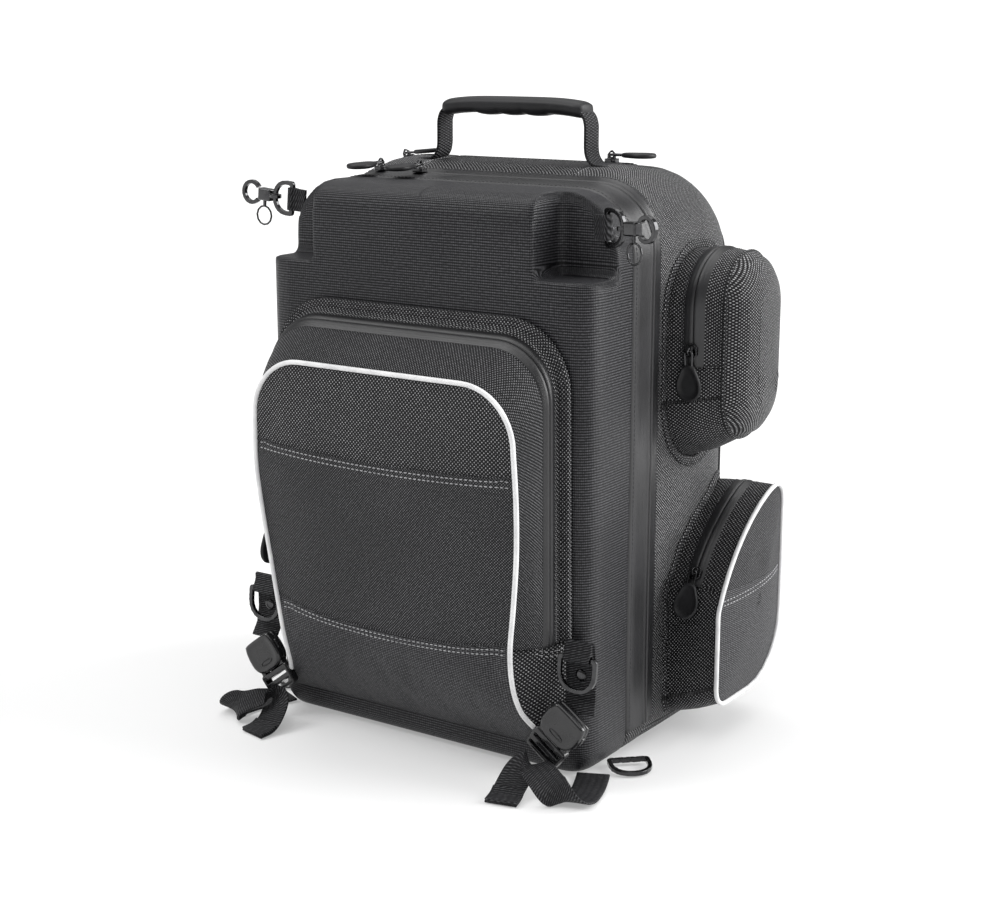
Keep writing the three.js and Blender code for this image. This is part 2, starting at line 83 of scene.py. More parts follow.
def outline_row(nodes, y):
    """(y, half width, bottom, top) of these nodes' outline in the plane at y."""
    points = np.vstack([vertices(n) for n in nodes])
    points = points[np.abs(points[:, 1] - y) < 0.06]
    return y, np.abs(points[:, 0]).max(), points[:, 2].min(), points[:, 2].max()


# ---------- sizes from the frame ----------
shell_low, shell_high = limits("shell_tray")
BODY_NODES = ("top_panel", "side_gusset_right", "base_panel", "back_panel")
BODY_ROWS = [outline_row(BODY_NODES, y) for y in (-22.7, -8, 20, 50, 74, 92, 104, 110, 112)]
SHELL_ROWS = [outline_row(("shell_tray",), y) for y in (-52, -80, -95, -104, -109.5, -112)]
ZIP_Y = BODY_ROWS[0][0] - 0.3
TOP_SEAM = limits("top_panel")[1][0]
BASE_SEAM = limits("base_panel")[1][2]
BACK_SEAM = limits("back_panel")[0][1]
BODY_CORNER = 48
SHELL_CORNER = 46
FOOT_CORNER = 18
# The cut over each of the shell's shoulders: outside x, in front of y and above z.
NOTCH = (100, -74, 370)
FRONT_HINGE = anchor("front_cover_hinge")
FRONT_ZIP_Y = limits("front_pocket_cover")[1][1]
SIDE_ZIP_X = limits("upper_pocket_cover_right")[0][0]
UPPER_SEAM = limits("upper_pocket_cover_right")[0][2]
LOWER_SEAM = limits("lower_pocket_cover_right")[0][2]


# ---------- curves and outlines ----------
def resample(points, count, closed=False):
    """The same line with that many evenly spaced points; columns past the third ride along."""
    points = np.asarray(points, float)
    if closed:
        points = np.vstack([points, points[:1]])
    along = np.r_[0, np.cumsum(np.linalg.norm(np.diff(points[:, :3], axis=0), axis=1))]
    targets = np.linspace(0, along[-1], count + 1)[:-1] if closed else np.linspace(0, along[-1], count)
    return np.stack([np.interp(targets, along, points[:, k]) for k in range(points.shape[1])], 1)


def length(points):
    return np.linalg.norm(np.diff(np.asarray(points, float), axis=0), axis=1).sum()


def smooth(points, steps=6, closed=False):
    """A Catmull-Rom curve through points of any dimension."""
    p = np.asarray(points, float)
    p = np.vstack([p[-1], p, p[:2]]) if closed else np.vstack([2 * p[0] - p[1], p, 2 * p[-1] - p[-2]])
    t = np.linspace(0, 1, steps, endpoint=False)[:, None]
    parts = []
    for a, b, c, d in zip(p[:-3], p[1:-2], p[2:-1], p[3:]):
        parts.append(0.5 * (2 * b + (c - a) * t + (2 * a - 5 * b + 4 * c - d) * t**2
                            + (3 * b - a - 3 * c + d) * t**3))
    return np.vstack(parts) if closed else np.vstack([*parts, p[-2]])


def route(points, spacing, closed=False):
    """A smooth route through points, with even steps of about that spacing."""
    curve = smooth(points, 12, closed)
    total = length(np.vstack([curve, curve[:1]]) if closed else curve)
    return resample(curve, max(4, int(round(total / spacing))), closed)


def rounded_loop(corners, arc=8, edge=10):
    """A convex outline with round corners (u, v, radius), counter-clockwise."""
    arcs = []
    for i, (u, v, radius) in enumerate(corners):
        here = np.array((u, v), float)
        before = np.array(corners[i - 1][:2], float) - here
        after = np.array(corners[(i + 1) % len(corners)][:2], float) - here
        before /= np.linalg.norm(before)
        after /= np.linalg.norm(after)
        half = math.acos(np.clip(before @ after, -1, 1)) / 2
        centre = here + (before + after) / np.linalg.norm(before + after) * radius / math.sin(half)
        first = here + before * radius / math.tan(half) - centre
        sweep_angle = math.pi - 2 * half
        for angle in np.linspace(0, sweep_angle, arc + 1):
            c, s = math.cos(angle), math.sin(angle)
            arcs.append(centre + (c * first[0] - s * first[1], s * first[0] + c * first[1]))
    arcs = np.array(arcs).reshape(len(corners), arc + 1, 2)
    points = []
    for i, part in enumerate(arcs):
        points.extend(part)
        end = arcs[(i + 1) % len(arcs)][0]
        points.extend(part[-1] + (end - part[-1]) * k / edge for k in range(1, edge))
    return np.array(points)


def rounded_box(u, v, radius, arc, edge):
    """A rectangle round the origin, u and v to each side, with round corners."""
    return rounded_loop([(-u, -v, radius), (u, -v, radius), (u, v, radius), (-u, v, radius)], arc, edge)


def upright(half, bottom, top, corner):
    """The bag's outline in a plane across its depth: foot corners below, round shoulders above."""
    feet = [(-half, bottom, FOOT_CORNER), (half, bottom, FOOT_CORNER)]
    return rounded_loop([*feet, (half, top, corner), (-half, top, corner)], 8, 30)


def unit(vectors):
    """Each row at length 1."""
    return vectors / np.linalg.norm(vectors, axis=1)[:, None]


def headings(path, closed):
    """The way a line runs at each of its points, of any length."""
    ahead = np.roll(path, -1, 0) - np.roll(path, 1, 0)
    if not closed:
        ahead[0], ahead[-1] = path[1] - path[0], path[-1] - path[-2]
    return ahead


def outward_normals(loop, closed=True):
    """Unit normals of a (u, v) outline, away from its middle."""
    ahead = headings(loop, closed)
    normal = unit(np.stack([ahead[:, 1], -ahead[:, 0]], 1))
    turn = ((loop - loop.mean(0)) * normal).sum()
    return normal if turn > 0 else -normal


def above(loop, level, count):
    """The part of a closed (u, v) loop above v = level, as an open path of count points."""
    loop = np.roll(loop, -int(np.argmin(loop[:, 1])), axis=0)
    keep = np.where(loop[:, 1] > level)[0]
    first, last = keep[0], keep[-1]

    def crossing(a, b):
        return a + (b - a) * (level - a[1]) / (b[1] - a[1])

    start = crossing(loop[first - 1], loop[first])
    end = crossing(loop[last], loop[(last + 1) % len(loop)])
    return resample(np.vstack([start, loop[first:last + 1], end]), count)


def rows_at(rows, depth):
    """Interpolates a table of rows by its first column."""
    table = np.array(sorted(rows), float)
    return [np.interp(depth, table[:, 0], table[:, k]) for k in range(1, table.shape[1])]


# ---------- mesh building ----------
def make(name, points, faces, weave=None):
    """A mesh object from points in mm."""
    mesh = bpy.data.meshes.new(name)
    mesh.from_pydata((np.asarray(points) * MM).tolist(), [], [tuple(int(i) for i in f) for f in faces])
    mesh.validate()
    mesh.polygons.foreach_set("use_smooth", [True] * len(mesh.polygons))
    obj = bpy.data.objects.new(name, mesh)
    scene.collection.objects.link(obj)
    if weave is not None:
        set_weave(obj, weave)
    return obj


def set_weave(obj, weave):
    """Stores how far each point lies along and across the cloth, in mm."""
    mesh = obj.data
    layer = mesh.attributes.get("weave") or mesh.attributes.new("weave", "FLOAT_VECTOR", "POINT")
    flat = np.zeros((len(mesh.vertices), 3), np.float32)
    flat[:, :2] = np.asarray(weave)[:, :2]
    layer.data.foreach_set("vector", flat.ravel())


def coordinates(obj):
    """The object's points, in mm."""
    co = np.zeros(len(obj.data.vertices) * 3, np.float32)
    obj.data.vertices.foreach_get("co", co)
    return co.reshape(-1, 3).astype(float) / MM


def move_points(obj, points):
    obj.data.vertices.foreach_set("co", (np.asarray(points) * MM).astype(np.float32).ravel())
    obj.data.update()


def normals(obj):
    """The unit normal at each point."""
    flat = np.zeros(len(obj.data.vertices) * 3, np.float32)
    obj.data.vertices.foreach_get("normal", flat)
    return flat.reshape(-1, 3).astype(float)


def grid_faces(rows, columns, around=False):
    """Quads between rows of points; around joins each row's end to its start."""
    wrap = columns if around else columns - 1
    return [(k * columns + i, k * columns + (i + 1) % columns, (k + 1) * columns + (i + 1) % columns,
             (k + 1) * columns + i) for k in range(rows - 1) for i in range(wrap)]


def skin(name, rings, around=True, ends=(False, False), weave=None):
    """A surface through rings of equal point count, rings x points x 3."""
    rings = np.asarray(rings, float)
    count, n = rings.shape[:2]
    faces = grid_faces(count, n, around)
    if ends[0]:
        faces.append(tuple(range(n))[::-1])
    if ends[1]:
        faces.append(tuple((count - 1) * n + i for i in range(n)))
    if weave is None:
        lengthwise = np.r_[0, np.cumsum(np.linalg.norm(np.diff(rings, axis=0), axis=2).mean(1))]
        crosswise = np.r_[0, np.cumsum(np.linalg.norm(np.diff(rings, axis=1), axis=2).mean(0))]
        weave = np.stack(np.meshgrid(lengthwise, crosswise, indexing="ij"), 2).reshape(-1, 2)
    obj = make(name, rings.reshape(-1, 3), faces, weave)
    if any(ends) or around:
        tidy_normals(obj)
    return obj


def loop_skin(name, rings):
    """A surface through rings that runs round and joins its own start."""
    obj = skin(name, np.vstack([rings, rings[:1]]))
    return tidy_normals(edit(obj, lambda bm: bmesh.ops.remove_doubles(bm, verts=bm.verts, dist=1e-6)))


def edit(obj, work):
    bm = bmesh.new()
    bm.from_mesh(obj.data)
    work(bm)
    bm.to_mesh(obj.data)
    bm.free()
    obj.data.update()
    return obj


def tidy_normals(obj):
    return edit(obj, lambda bm: bmesh.ops.recalc_face_normals(bm, faces=bm.faces))


def face_away(obj, centre):
    """Turns an open sheet's faces away from centre."""
    centre = Vector(np.array(centre) * MM)

    def work(bm):
        total = sum(f.normal.dot(f.calc_center_median() - centre) * f.calc_area() for f in bm.faces)
        if total < 0:
            bmesh.ops.reverse_faces(bm, faces=bm.faces)

    return edit(obj, work)


def settle(obj):
    """Applies every modifier on obj."""
    bpy.context.view_layer.update()
    evaluated = obj.evaluated_get(bpy.context.evaluated_depsgraph_get())
    mesh = bpy.data.meshes.new_from_object(evaluated, preserve_all_data_layers=True,
                                           depsgraph=bpy.context.evaluated_depsgraph_get())
    obj.modifiers.clear()
    obj.data = mesh
    return obj


def modify(obj, kind, **values):
    modifier = obj.modifiers.new(kind.lower(), kind)
    for key, value in values.items():
        setattr(modifier, key, value)
    return settle(obj)


def subdivide(obj, levels=1):
    return modify(obj, "SUBSURF", levels=levels, render_levels=levels)


def thicken(obj, thickness):
    return modify(obj, "SOLIDIFY", thickness=thickness * MM, offset=-1, use_even_offset=False)


def copy_of(obj, name):
    """A separate object with its own mesh."""
    copy = obj.copy()
    copy.data = obj.data.copy()
    copy.name = name
    scene.collection.objects.link(copy)
    return copy


def slice_at(bm, point, normal):
    """Adds edges to the mesh where the plane through point crosses it."""
    bmesh.ops.bisect_plane(bm, geom=bm.verts[:] + bm.edges[:] + bm.faces[:], dist=1e-6,
                           plane_co=Vector(np.array(point, float) * MM), plane_no=Vector(normal))


def carve(obj, name, planes, keep):
    """A copy of obj cut along planes (point, normal), keeping faces whose centre passes keep(x, y, z)."""
    def work(bm):
        for point, normal in planes:
            slice_at(bm, point, normal)
        lost = [f for f in bm.faces if not keep(*(f.calc_center_median() / MM))]
        bmesh.ops.delete(bm, geom=lost, context="FACES")

    return edit(copy_of(obj, name), work)


def crease(obj, axis, place, depth, width=2.2):
    """Presses a sewn line into obj where the coordinate axis is at place."""
    normal = np.eye(3)[axis]

    def work(bm):
        for k in (-2, -1, -0.5, 0, 0.5, 1, 2):
            slice_at(bm, normal * (place + k * width), normal)

    edit(obj, work)
    points = coordinates(obj)
    fall = np.exp(-((points[:, axis] - place) / width) ** 2)
    move_points(obj, points - normals(obj) * (depth * fall)[:, None])
    return obj


def remesh(obj, voxel):
    return modify(obj, "REMESH", mode="VOXEL", voxel_size=voxel * MM, use_smooth_shade=True)


def relax(obj, times, factor=0.5):
    return modify(obj, "SMOOTH", iterations=times, factor=factor)


def surface_of(obj):
    """A way to find the nearest point and normal on obj, in mm."""
    mesh = obj.data
    tree = BVHTree.FromPolygons([v.co / MM for v in mesh.vertices], [p.vertices for p in mesh.polygons])

    def nearest(points):
        found = [tree.find_nearest(Vector(p)) for p in np.asarray(points, float)]
        return np.array([f[0] for f in found]), np.array([f[1] for f in found])

    return nearest


def inflate(obj, pins, pressure, cap, frames=20, give=0.0):
    """Swells obj as sewn cloth under pressure: pins weighs each vertex, cap is the most that one moves."""
    rest = coordinates(obj)
    group = obj.vertex_groups.new(name="pins")
    for i in np.where(pins > 0.01)[0]:
        group.add([int(i)], float(pins[i]), "REPLACE")
    cloth = obj.modifiers.new("cloth", "CLOTH")
    s = cloth.settings
    s.quality = 5
    s.mass = 0.3
    s.tension_stiffness = s.compression_stiffness = 15
    s.shear_stiffness = 5
    s.bending_stiffness = 2
    s.air_damping = 4
    s.use_pressure = True
    s.uniform_pressure_force = pressure
    s.shrink_min = -give
    s.effector_weights.gravity = 0
    s.vertex_group_mass = group.name
    cloth.point_cache.frame_start = 1
    cloth.point_cache.frame_end = frames
    for f in range(1, frames + 1):
        scene.frame_set(f)
    settle(obj)
    scene.frame_set(1)
    obj.vertex_groups.clear()
    shift = coordinates(obj) - rest
    far = np.linalg.norm(shift, axis=1)
    soft = cap * np.tanh(far / cap)
    move_points(obj, rest + shift * (soft / np.maximum(far, 1e-9))[:, None])
    return obj


def sweep(name, path, section, up, closed=False):
    """A solid of that section (side, up) along a path; up is one direction or one for each point."""
    path = np.asarray(path, float)
    ahead = unit(headings(path, closed))
    side = unit(np.cross(ahead, np.broadcast_to(np.asarray(up, float), path.shape)))
    up = np.cross(side, ahead)
    section = np.asarray(section, float)
    rings = path[:, None] + (side[:, None] * section[None, :, :1] + up[:, None] * section[None, :, 1:])
    return loop_skin(name, rings) if closed else tidy_normals(skin(name, rings, ends=(True, True)))


def disc(radius, sides=12):
    """A round section."""
    angles = np.linspace(0, 2 * math.pi, sides, endpoint=False)
    return np.stack([np.cos(angles), np.sin(angles)], 1) * radius


def tape_section(width, thickness):
    """A flat woven tape with round edges."""
    return rounded_box(width / 2, thickness / 2, thickness * 0.45, 2, 6)


def mirror_of(obj, name):
    """A copy reflected to the other side of the bag."""
    copy = copy_of(obj, name)
    copy.data.transform(Matrix.Scale(-1, 4, (1, 0, 0)))
    copy.data.flip_normals()
    return copy


def even_spots(points, facing, pitch):
    """Places every pitch along a path that faces that way: centres, and unit vectors out of the cloth."""
    count = max(2, int(length(points) / pitch))
    spots = resample(np.hstack([points, facing]), 2 * count + 1)[1::2]
    return spots[:, :3], unit(spots[:, 3:])


def row_of_solids(name, corners, around):
    """Closed solids in a row; corners holds, ring by ring, where that corner lies in each of them."""
    verts = np.array(corners).transpose(1, 0, 2)
    size = verts.shape[1]
    one = grid_faces(size // around, around, True)
    one += [tuple(range(around))[::-1], tuple(range(size - around, size))]
    faces = [tuple(i + size * k for i in f) for k in range(len(verts)) for f in one]
    return make(name, verts.reshape(-1, 3), faces)


# Rings of one stitch: (place along it, share of its thickness, lift out of the cloth).
STITCH_RINGS = ((-0.5, 0.35, -0.25), (-0.3, 0.9, 0.1), (0.3, 0.9, 0.1), (0.5, 0.35, -0.25))
# Rings of one zipper tooth: (place along the zipper, share of its size).
TOOTH_RINGS = ((-0.75, 0.75), (-0.35, 1), (0.35, 1), (0.75, 0.75))
TOOTH_PITCH = 2.6


def stitch_row(name, points, facing, pitch=3.6, stitch=2.5, thick=0.42, sunk=0.1):
    """A row of separate stitches along a path that lies on cloth facing that way."""
    points = np.asarray(points, float)
    facing = np.broadcast_to(np.asarray(facing, float), points.shape)
    centre, up = even_spots(points, facing, pitch)
    ahead = unit(np.gradient(centre, axis=0))
    side = np.cross(ahead, up)
    corners = [centre + ahead * at * stitch + side * c * thick * size
               + up * (s * thick * size + lift * thick * 2 - sunk)
               for at, size, lift in STITCH_RINGS for c, s in disc(1, 6)]
    return row_of_solids(name, corners, 6)


def teeth_row(name, points, facing, across, sunk=1.0):
    """A zipper half's row of teeth under its lip; across points from the closing line into the tape."""
    centre, up = even_spots(points + across * 0.9 - facing * sunk, facing, TOOTH_PITCH)
    ahead = unit(np.cross(up, across))
    block = rounded_box(1.4, 0.55, 0.3, 1, 1)
    corners = [centre + across * u * size + up * (v * size + 0.2) + ahead * w
               for w, size in TOOTH_RINGS for u, v in block]
    return tidy_normals(row_of_solids(name, corners, len(block)))


def lines_along(outline_at, profile):
    """A line along an outline for each (depth, rise above the outline)."""
    lines = []
    for depth, rise in profile:
        points, facing = outline_at(depth)
        lines.append(points + facing * rise)
    return lines


def band(name, outline_at, profile):
    """A solid that follows an outline, its section given as points (depth, rise above the outline)."""
    return tidy_normals(skin(name, np.stack(lines_along(outline_at, profile), axis=1), ends=(True, True)))


def sheet(name, rows, centre):
    """An open sheet through rows of points, facing away from centre."""
    return face_away(skin(name, rows, around=False), centre)


def dress(obj, materials):
    """Gives obj these materials and no others."""
    obj.data.materials.clear()
    for m in materials:
        obj.data.materials.append(m)


def place(obj, body, material, slot=None, replaces=()):
    """Gives a finished piece its look and its body; a piece given two bodies and two points only has its
    place baked into its points.
    """
    if material is not None:
        dress(obj, [material])
    if replaces:
        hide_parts(*replaces)
    if isinstance(body, tuple):
        start, end = [tuple(np.array(point) * MM) for point in body[2:]]
        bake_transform(obj)
    else:
        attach(obj, body)
    return obj


# ---------- materials ----------
def node(tree, kind, inputs=None, **settings):
    made = tree.nodes.new("ShaderNode" + kind)
    for key, value in settings.items():
        setattr(made, key, value)
    for key, value in (inputs or {}).items():
        if isinstance(value, bpy.types.NodeSocket):
            tree.links.new(value, made.inputs[key])
        else:
            made.inputs[key].default_value = value
    return made


def maths(tree, operation, a, b=0.0, c=0.0):
    """a, b and c are numbers or sockets."""
    return node(tree, "Math", {0: a, 1: b, 2: c}, operation=operation).outputs[0]


def step(tree, value, low, high, out_low=0.0, out_high=1.0):
    """A smooth step of value from low to high."""
    return node(tree, "MapRange", {"Value": value, "From Min": low, "From Max": high, "To Min": out_low,
                                   "To Max": out_high}, interpolation_type="SMOOTHSTEP").outputs["Result"]


def noise(tree, vector, scale, detail=3.0):
    return node(tree, "TexNoise", {"Vector": vector, "Scale": scale, "Detail": detail}).outputs["Fac"]


def blend_colour(tree, factor, a, b):
    """a where factor is 0, b where it is 1."""
    mixed = node(tree, "Mix", {"Factor": factor}, data_type="RGBA")
    for socket, colour in zip([s for s in mixed.inputs if s.type == "RGBA"], (a, b)):
        socket.default_value = (*colour, 1)
    return [s for s in mixed.outputs if s.type == "RGBA"][0]


def start_material(name, metallic=0.0, specular=0.3, sheen=0.0, coat=0.0):
    """A material, its node tree and shader, and the place on the object to take noise from."""
    m = bpy.data.materials.new(name)
    m.use_nodes = True
    tree = m.node_tree
    shader = tree.nodes["Principled BSDF"]
    shader.inputs["Metallic"].default_value = metallic
    shader.inputs["Specular IOR Level"].default_value = specular
    shader.inputs["Sheen Weight"].default_value = sheen
    shader.inputs["Sheen Roughness"].default_value = 0.4
    shader.inputs["Coat Weight"].default_value = coat
    place_of = node(tree, "TexCoord").outputs["Object"]
    return m, tree, shader, place_of


def finish_material(tree, shader, colour, rough, height, relief):
    tree.links.new(colour, shader.inputs["Base Color"])
    tree.links.new(rough, shader.inputs["Roughness"])
    bump = node(tree, "Bump", {"Height": height, "Strength": 1.0, "Distance": relief * MM})
    tree.links.new(bump.outputs["Normal"], shader.inputs["Normal"])


BLACK_CLOTH = (0.003, 0.003, 0.004)


def fabric(name, kind, pitch, light, rough=0.5, relief=0.25, cover=(0.1, 0.9), dark=BLACK_CLOTH):
    """Woven cloth: threads follow the weave attribute in mm; pitch is the repeat along and across. light is
    a painted highlight: the colour painted on the crests of the weave in place of their shine, and cover
    the heights of the weave between which its colour goes from dark to that painted highlight."""
    m, tree, shader, spot = start_material(name, specular=0.22)
    weave = node(tree, "Attribute", attribute_name="weave").outputs["Vector"]
    split = node(tree, "SeparateXYZ", {0: weave})
    along = maths(tree, "MULTIPLY", split.outputs[0], 2 * math.pi / pitch[0])
    across = maths(tree, "MULTIPLY", split.outputs[1], 2 * math.pi / pitch[1])
    wave_u, wave_v = maths(tree, "SINE", along), maths(tree, "SINE", across)
    if kind == "dots":
        height = maths(tree, "MULTIPLY", wave_u, wave_v)
    elif kind == "ribs":
        height = maths(tree, "MULTIPLY_ADD", wave_u, 0.3, maths(tree, "MULTIPLY", wave_v, 0.7))
    elif kind == "twill":
        slope = maths(tree, "SINE", maths(tree, "ADD", along, across))
        height = maths(tree, "MULTIPLY_ADD", wave_u, 0.35, maths(tree, "MULTIPLY", slope, 0.65))
    threads = noise(tree, weave, 0.45, 2.0)
    blotch = noise(tree, spot, 14.0, 4.0)
    # How much painted highlight each point gets: it rises on the crests of the weave and varies thread by
    # thread and in patches.
    crest_highlight = maths(tree, "MULTIPLY", step(tree, height, *cover), step(tree, threads, 0.25, 0.7, 0.35, 1.0))
    crest_highlight = maths(tree, "MULTIPLY", crest_highlight, step(tree, blotch, 0.3, 0.7, 0.75, 1.0))
    colour = blend_colour(tree, crest_highlight, dark, light)
    gloss = maths(tree, "MULTIPLY_ADD", blotch, 0.18, rough - 0.09)
    finish_material(tree, shader, colour, gloss, height, relief)
    return m


def solid(name, colour, worn, rough, scale=60.0, relief=0.04, grain=900.0, **options):
    """Moulded, cast or coated material: fine grain, with slow changes of tone and gloss."""
    m, tree, shader, spot = start_material(name, **options)
    blotch = noise(tree, spot, scale, 5.0)
    fine = noise(tree, spot, grain, 2.0)
    tone = blend_colour(tree, step(tree, blotch, 0.35, 0.7), colour, worn)
    gloss = maths(tree, "MULTIPLY_ADD", blotch, 0.2, rough - 0.1)
    finish_material(tree, shader, tone, gloss, fine, relief)
    return m


def coated_tape(name, colour, worn, rough):
    """Coated zipper tape: smooth, with faint lines along its length."""
    m, tree, shader, spot = start_material(name, specular=0.55)
    weave = node(tree, "Attribute", attribute_name="weave").outputs["Vector"]
    split = node(tree, "SeparateXYZ", {0: weave})
    lines = node(tree, "TexNoise", {"Scale": 2.2, "Detail": 2.0, "W": split.outputs[1]},
                 noise_dimensions="1D").outputs["Fac"]
    ribs = maths(tree, "SINE", maths(tree, "MULTIPLY", split.outputs[0], 2 * math.pi / 1.3))
    blotch = noise(tree, spot, 22.0, 4.0)
    height = maths(tree, "MULTIPLY_ADD", ribs, 0.12, lines)
    tone = blend_colour(tree, step(tree, blotch, 0.3, 0.75), colour, worn)
    gloss = maths(tree, "MULTIPLY_ADD", blotch, 0.16, rough - 0.08)
    finish_material(tree, shader, tone, gloss, height, 0.12)
    return m


# The fourth value of each cloth is the highlight colour painted on the crests of its weave; the cloth
# between the crests keeps its own dark colour.
rib_cloth = fabric("rib_cloth", "ribs", (1.9, 2.0), (0.10, 0.10, 0.107), 0.38, 0.12, (-0.4, 0.9))
coarse_cloth = fabric("coarse_cloth", "dots", (3.0, 3.0), (0.50, 0.50, 0.51), 0.55, 0.3, (0.25, 0.95))
gusset_cloth = fabric("gusset_cloth", "dots", (2.4, 2.4), (0.62, 0.62, 0.63), 0.48, 0.3, (0.15, 0.95),
                      dark=(0.004, 0.004, 0.005))
fine_cloth = fabric("fine_cloth", "dots", (2.3, 2.3), (0.27, 0.27, 0.28), 0.5, 0.24, (0.1, 0.95))
foot_cloth = fabric("foot_cloth", "ribs", (2.2, 1.5), (0.20, 0.20, 0.21), 0.5, 0.18, (-0.2, 0.95))
webbing_cloth = fabric("webbing_cloth", "twill", (1.9, 5.0), (0.09, 0.09, 0.095), 0.6, 0.3, (-0.3, 0.9))
ribbed_webbing = fabric("ribbed_webbing", "dots", (2.2, 6.0), (0.16, 0.16, 0.17), 0.5, 0.4)
smooth_tape = coated_tape("smooth_tape", (0.012, 0.012, 0.013), (0.018, 0.018, 0.020), 0.36)
dark_tape = coated_tape("dark_tape", (0.006, 0.006, 0.007), (0.010, 0.010, 0.011), 0.40)
piping_white = solid("piping_white", (0.80, 0.80, 0.80), (0.66, 0.66, 0.67), 0.5, relief=0.06, sheen=0.1)
piping_black = solid("piping_black", (0.008, 0.008, 0.009), (0.018, 0.018, 0.02), 0.45, relief=0.06)
light_thread = solid("light_thread", (0.42, 0.42, 0.43), (0.3, 0.3, 0.31), 0.6, relief=0.05)
dark_thread = solid("dark_thread", (0.06, 0.06, 0.065), (0.03, 0.03, 0.033), 0.6, relief=0.05)
rubber = solid("rubber", (0.010, 0.010, 0.011), (0.018, 0.018, 0.020), 0.48, relief=0.05, grain=1500.0)
nickel = solid("nickel", (0.035, 0.035, 0.037), (0.018, 0.018, 0.02), 0.26, scale=150.0, relief=0.01,
               metallic=1.0, coat=0.8)
plastic = solid("plastic", (0.006, 0.006, 0.007), (0.014, 0.014, 0.015), 0.28, relief=0.02, coat=0.6)
board_face = solid("board_face", (0.05, 0.05, 0.05), (0.08, 0.08, 0.08), 0.7, relief=0.1, grain=600.0)
teeth_plastic = solid("teeth_plastic", (0.012, 0.012, 0.013), (0.02, 0.02, 0.021), 0.35, relief=0.02)


def paint(obj, materials, choose):
    """Gives each face one of the materials, by the place of its centre."""
    dress(obj, materials)
    for p in obj.data.polygons:
        p.material_index = choose(*(p.center / MM))
    return obj


def sew(name, body, points, facing, thread=dark_thread, **look):
    """A row of stitches on a body; look is what stitch_row takes."""
    place(stitch_row(name, points, facing, **look), body, thread, "webbing")


# ---------- camera, floor and light ----------
def at_angle(azimuth, elevation):
    """The direction from the bag toward a viewer or a light at these angles, in degrees."""
    a, e = math.radians(azimuth), math.radians(elevation)
    return Vector((math.sin(a) * math.cos(e), -math.cos(a) * math.cos(e), math.sin(e)))


def add_sun(name, azimuth, elevation, spread, strength):
    """A large soft light: spread is the angle it fills, in degrees."""
    data = bpy.data.lights.new(name, "SUN")
    data.angle = math.radians(spread)
    data.energy = strength
    light = bpy.data.objects.new(name, data)
    light.rotation_euler = at_angle(azimuth, elevation).to_track_quat("Z", "Y").to_euler()
    scene.collection.objects.link(light)


camera = bpy.data.objects.new("camera", bpy.data.cameras.new("camera"))
camera.location = (0.7818, -1.1663, 0.5403)
camera.rotation_euler = at_angle(33.9, 13.2).to_track_quat("Z", "Y").to_euler()
camera.data.lens = 64.37
camera.data.sensor_width = 36
scene.collection.objects.link(camera)
scene.camera = camera

# The floor rises a little far away, so that it fills the view up to the top.
FLOOR_RINGS = ((0.01, 0), (900, 0), (2500, 0), (6000, 0), (12000, 250), (30000, 1800))
floor_disc = np.array([(r * math.cos(a), r * math.sin(a), z) for r, z in FLOOR_RINGS
                       for a in np.linspace(0, 2 * math.pi, 48, endpoint=False)])
floor = make("floor", floor_disc, grid_faces(len(FLOOR_RINGS), 48, True))
floor.location.z = -0.0003
floor_white = solid("floor_white", (0.55, 0.55, 0.55), (0.545, 0.545, 0.545), 0.9, scale=2.0, relief=0.0)
floor_inputs = floor_white.node_tree.nodes["Principled BSDF"].inputs
floor_inputs["Emission Color"].default_value = (1, 1, 1, 1)
floor_inputs["Emission Strength"].default_value = 0.32
floor.data.materials.append(floor_white)

world = bpy.data.worlds.new("studio")
world.use_nodes = True
world.node_tree.nodes["Background"].inputs["Color"].default_value = (1, 1, 1, 1)
world.node_tree.nodes["Background"].inputs["Strength"].default_value = 0.25
scene.world = world
scene.view_settings.view_transform = "Standard"
add_sun("key", -46, 46, 30, 1.25)
add_sun("right", 125, 24, 44, 3.7)
add_sun("back", 215, 60, 50, 0.6)
add_sun("top", 0, 84, 70, 1.7)


# ---------- bag body ----------
def body_loop(y):
    """The body's outline in the plane at y, as (x, z) points."""
    half, bottom, top = rows_at(BODY_ROWS, y)
    return upright(half, bottom, top, BODY_CORNER)


def lifted(loop, y):
    """A flat (x, z) outline put in the plane at y."""
    return np.stack([loop[:, 0], np.full(len(loop), y), loop[:, 1]], 1)


def upright_arch(loop_at, low, count):
    """outline_at for a band over the top from one side's foot to the other's."""
    def outline_at(y):
        path = above(loop_at(y), low, count)
        facing = outward_normals(path, closed=False)
        return lifted(path, y), lifted(facing, 0)
    return outline_at


def upright_form(name, rows, corner):
    """A closed block through rows of (y, half width, bottom, top)."""
    return skin(name, [lifted(upright(h, b, t, corner), y) for y, h, b, t in rows], ends=(True, True))


front_edge = BODY_ROWS[0]
form_rows = [(front_edge[0] - 20, *front_edge[1:]), *smooth(BODY_ROWS, 4)]
body_form = upright_form("body_form", form_rows, BODY_CORNER)
relax(remesh(body_form, 6), 2)

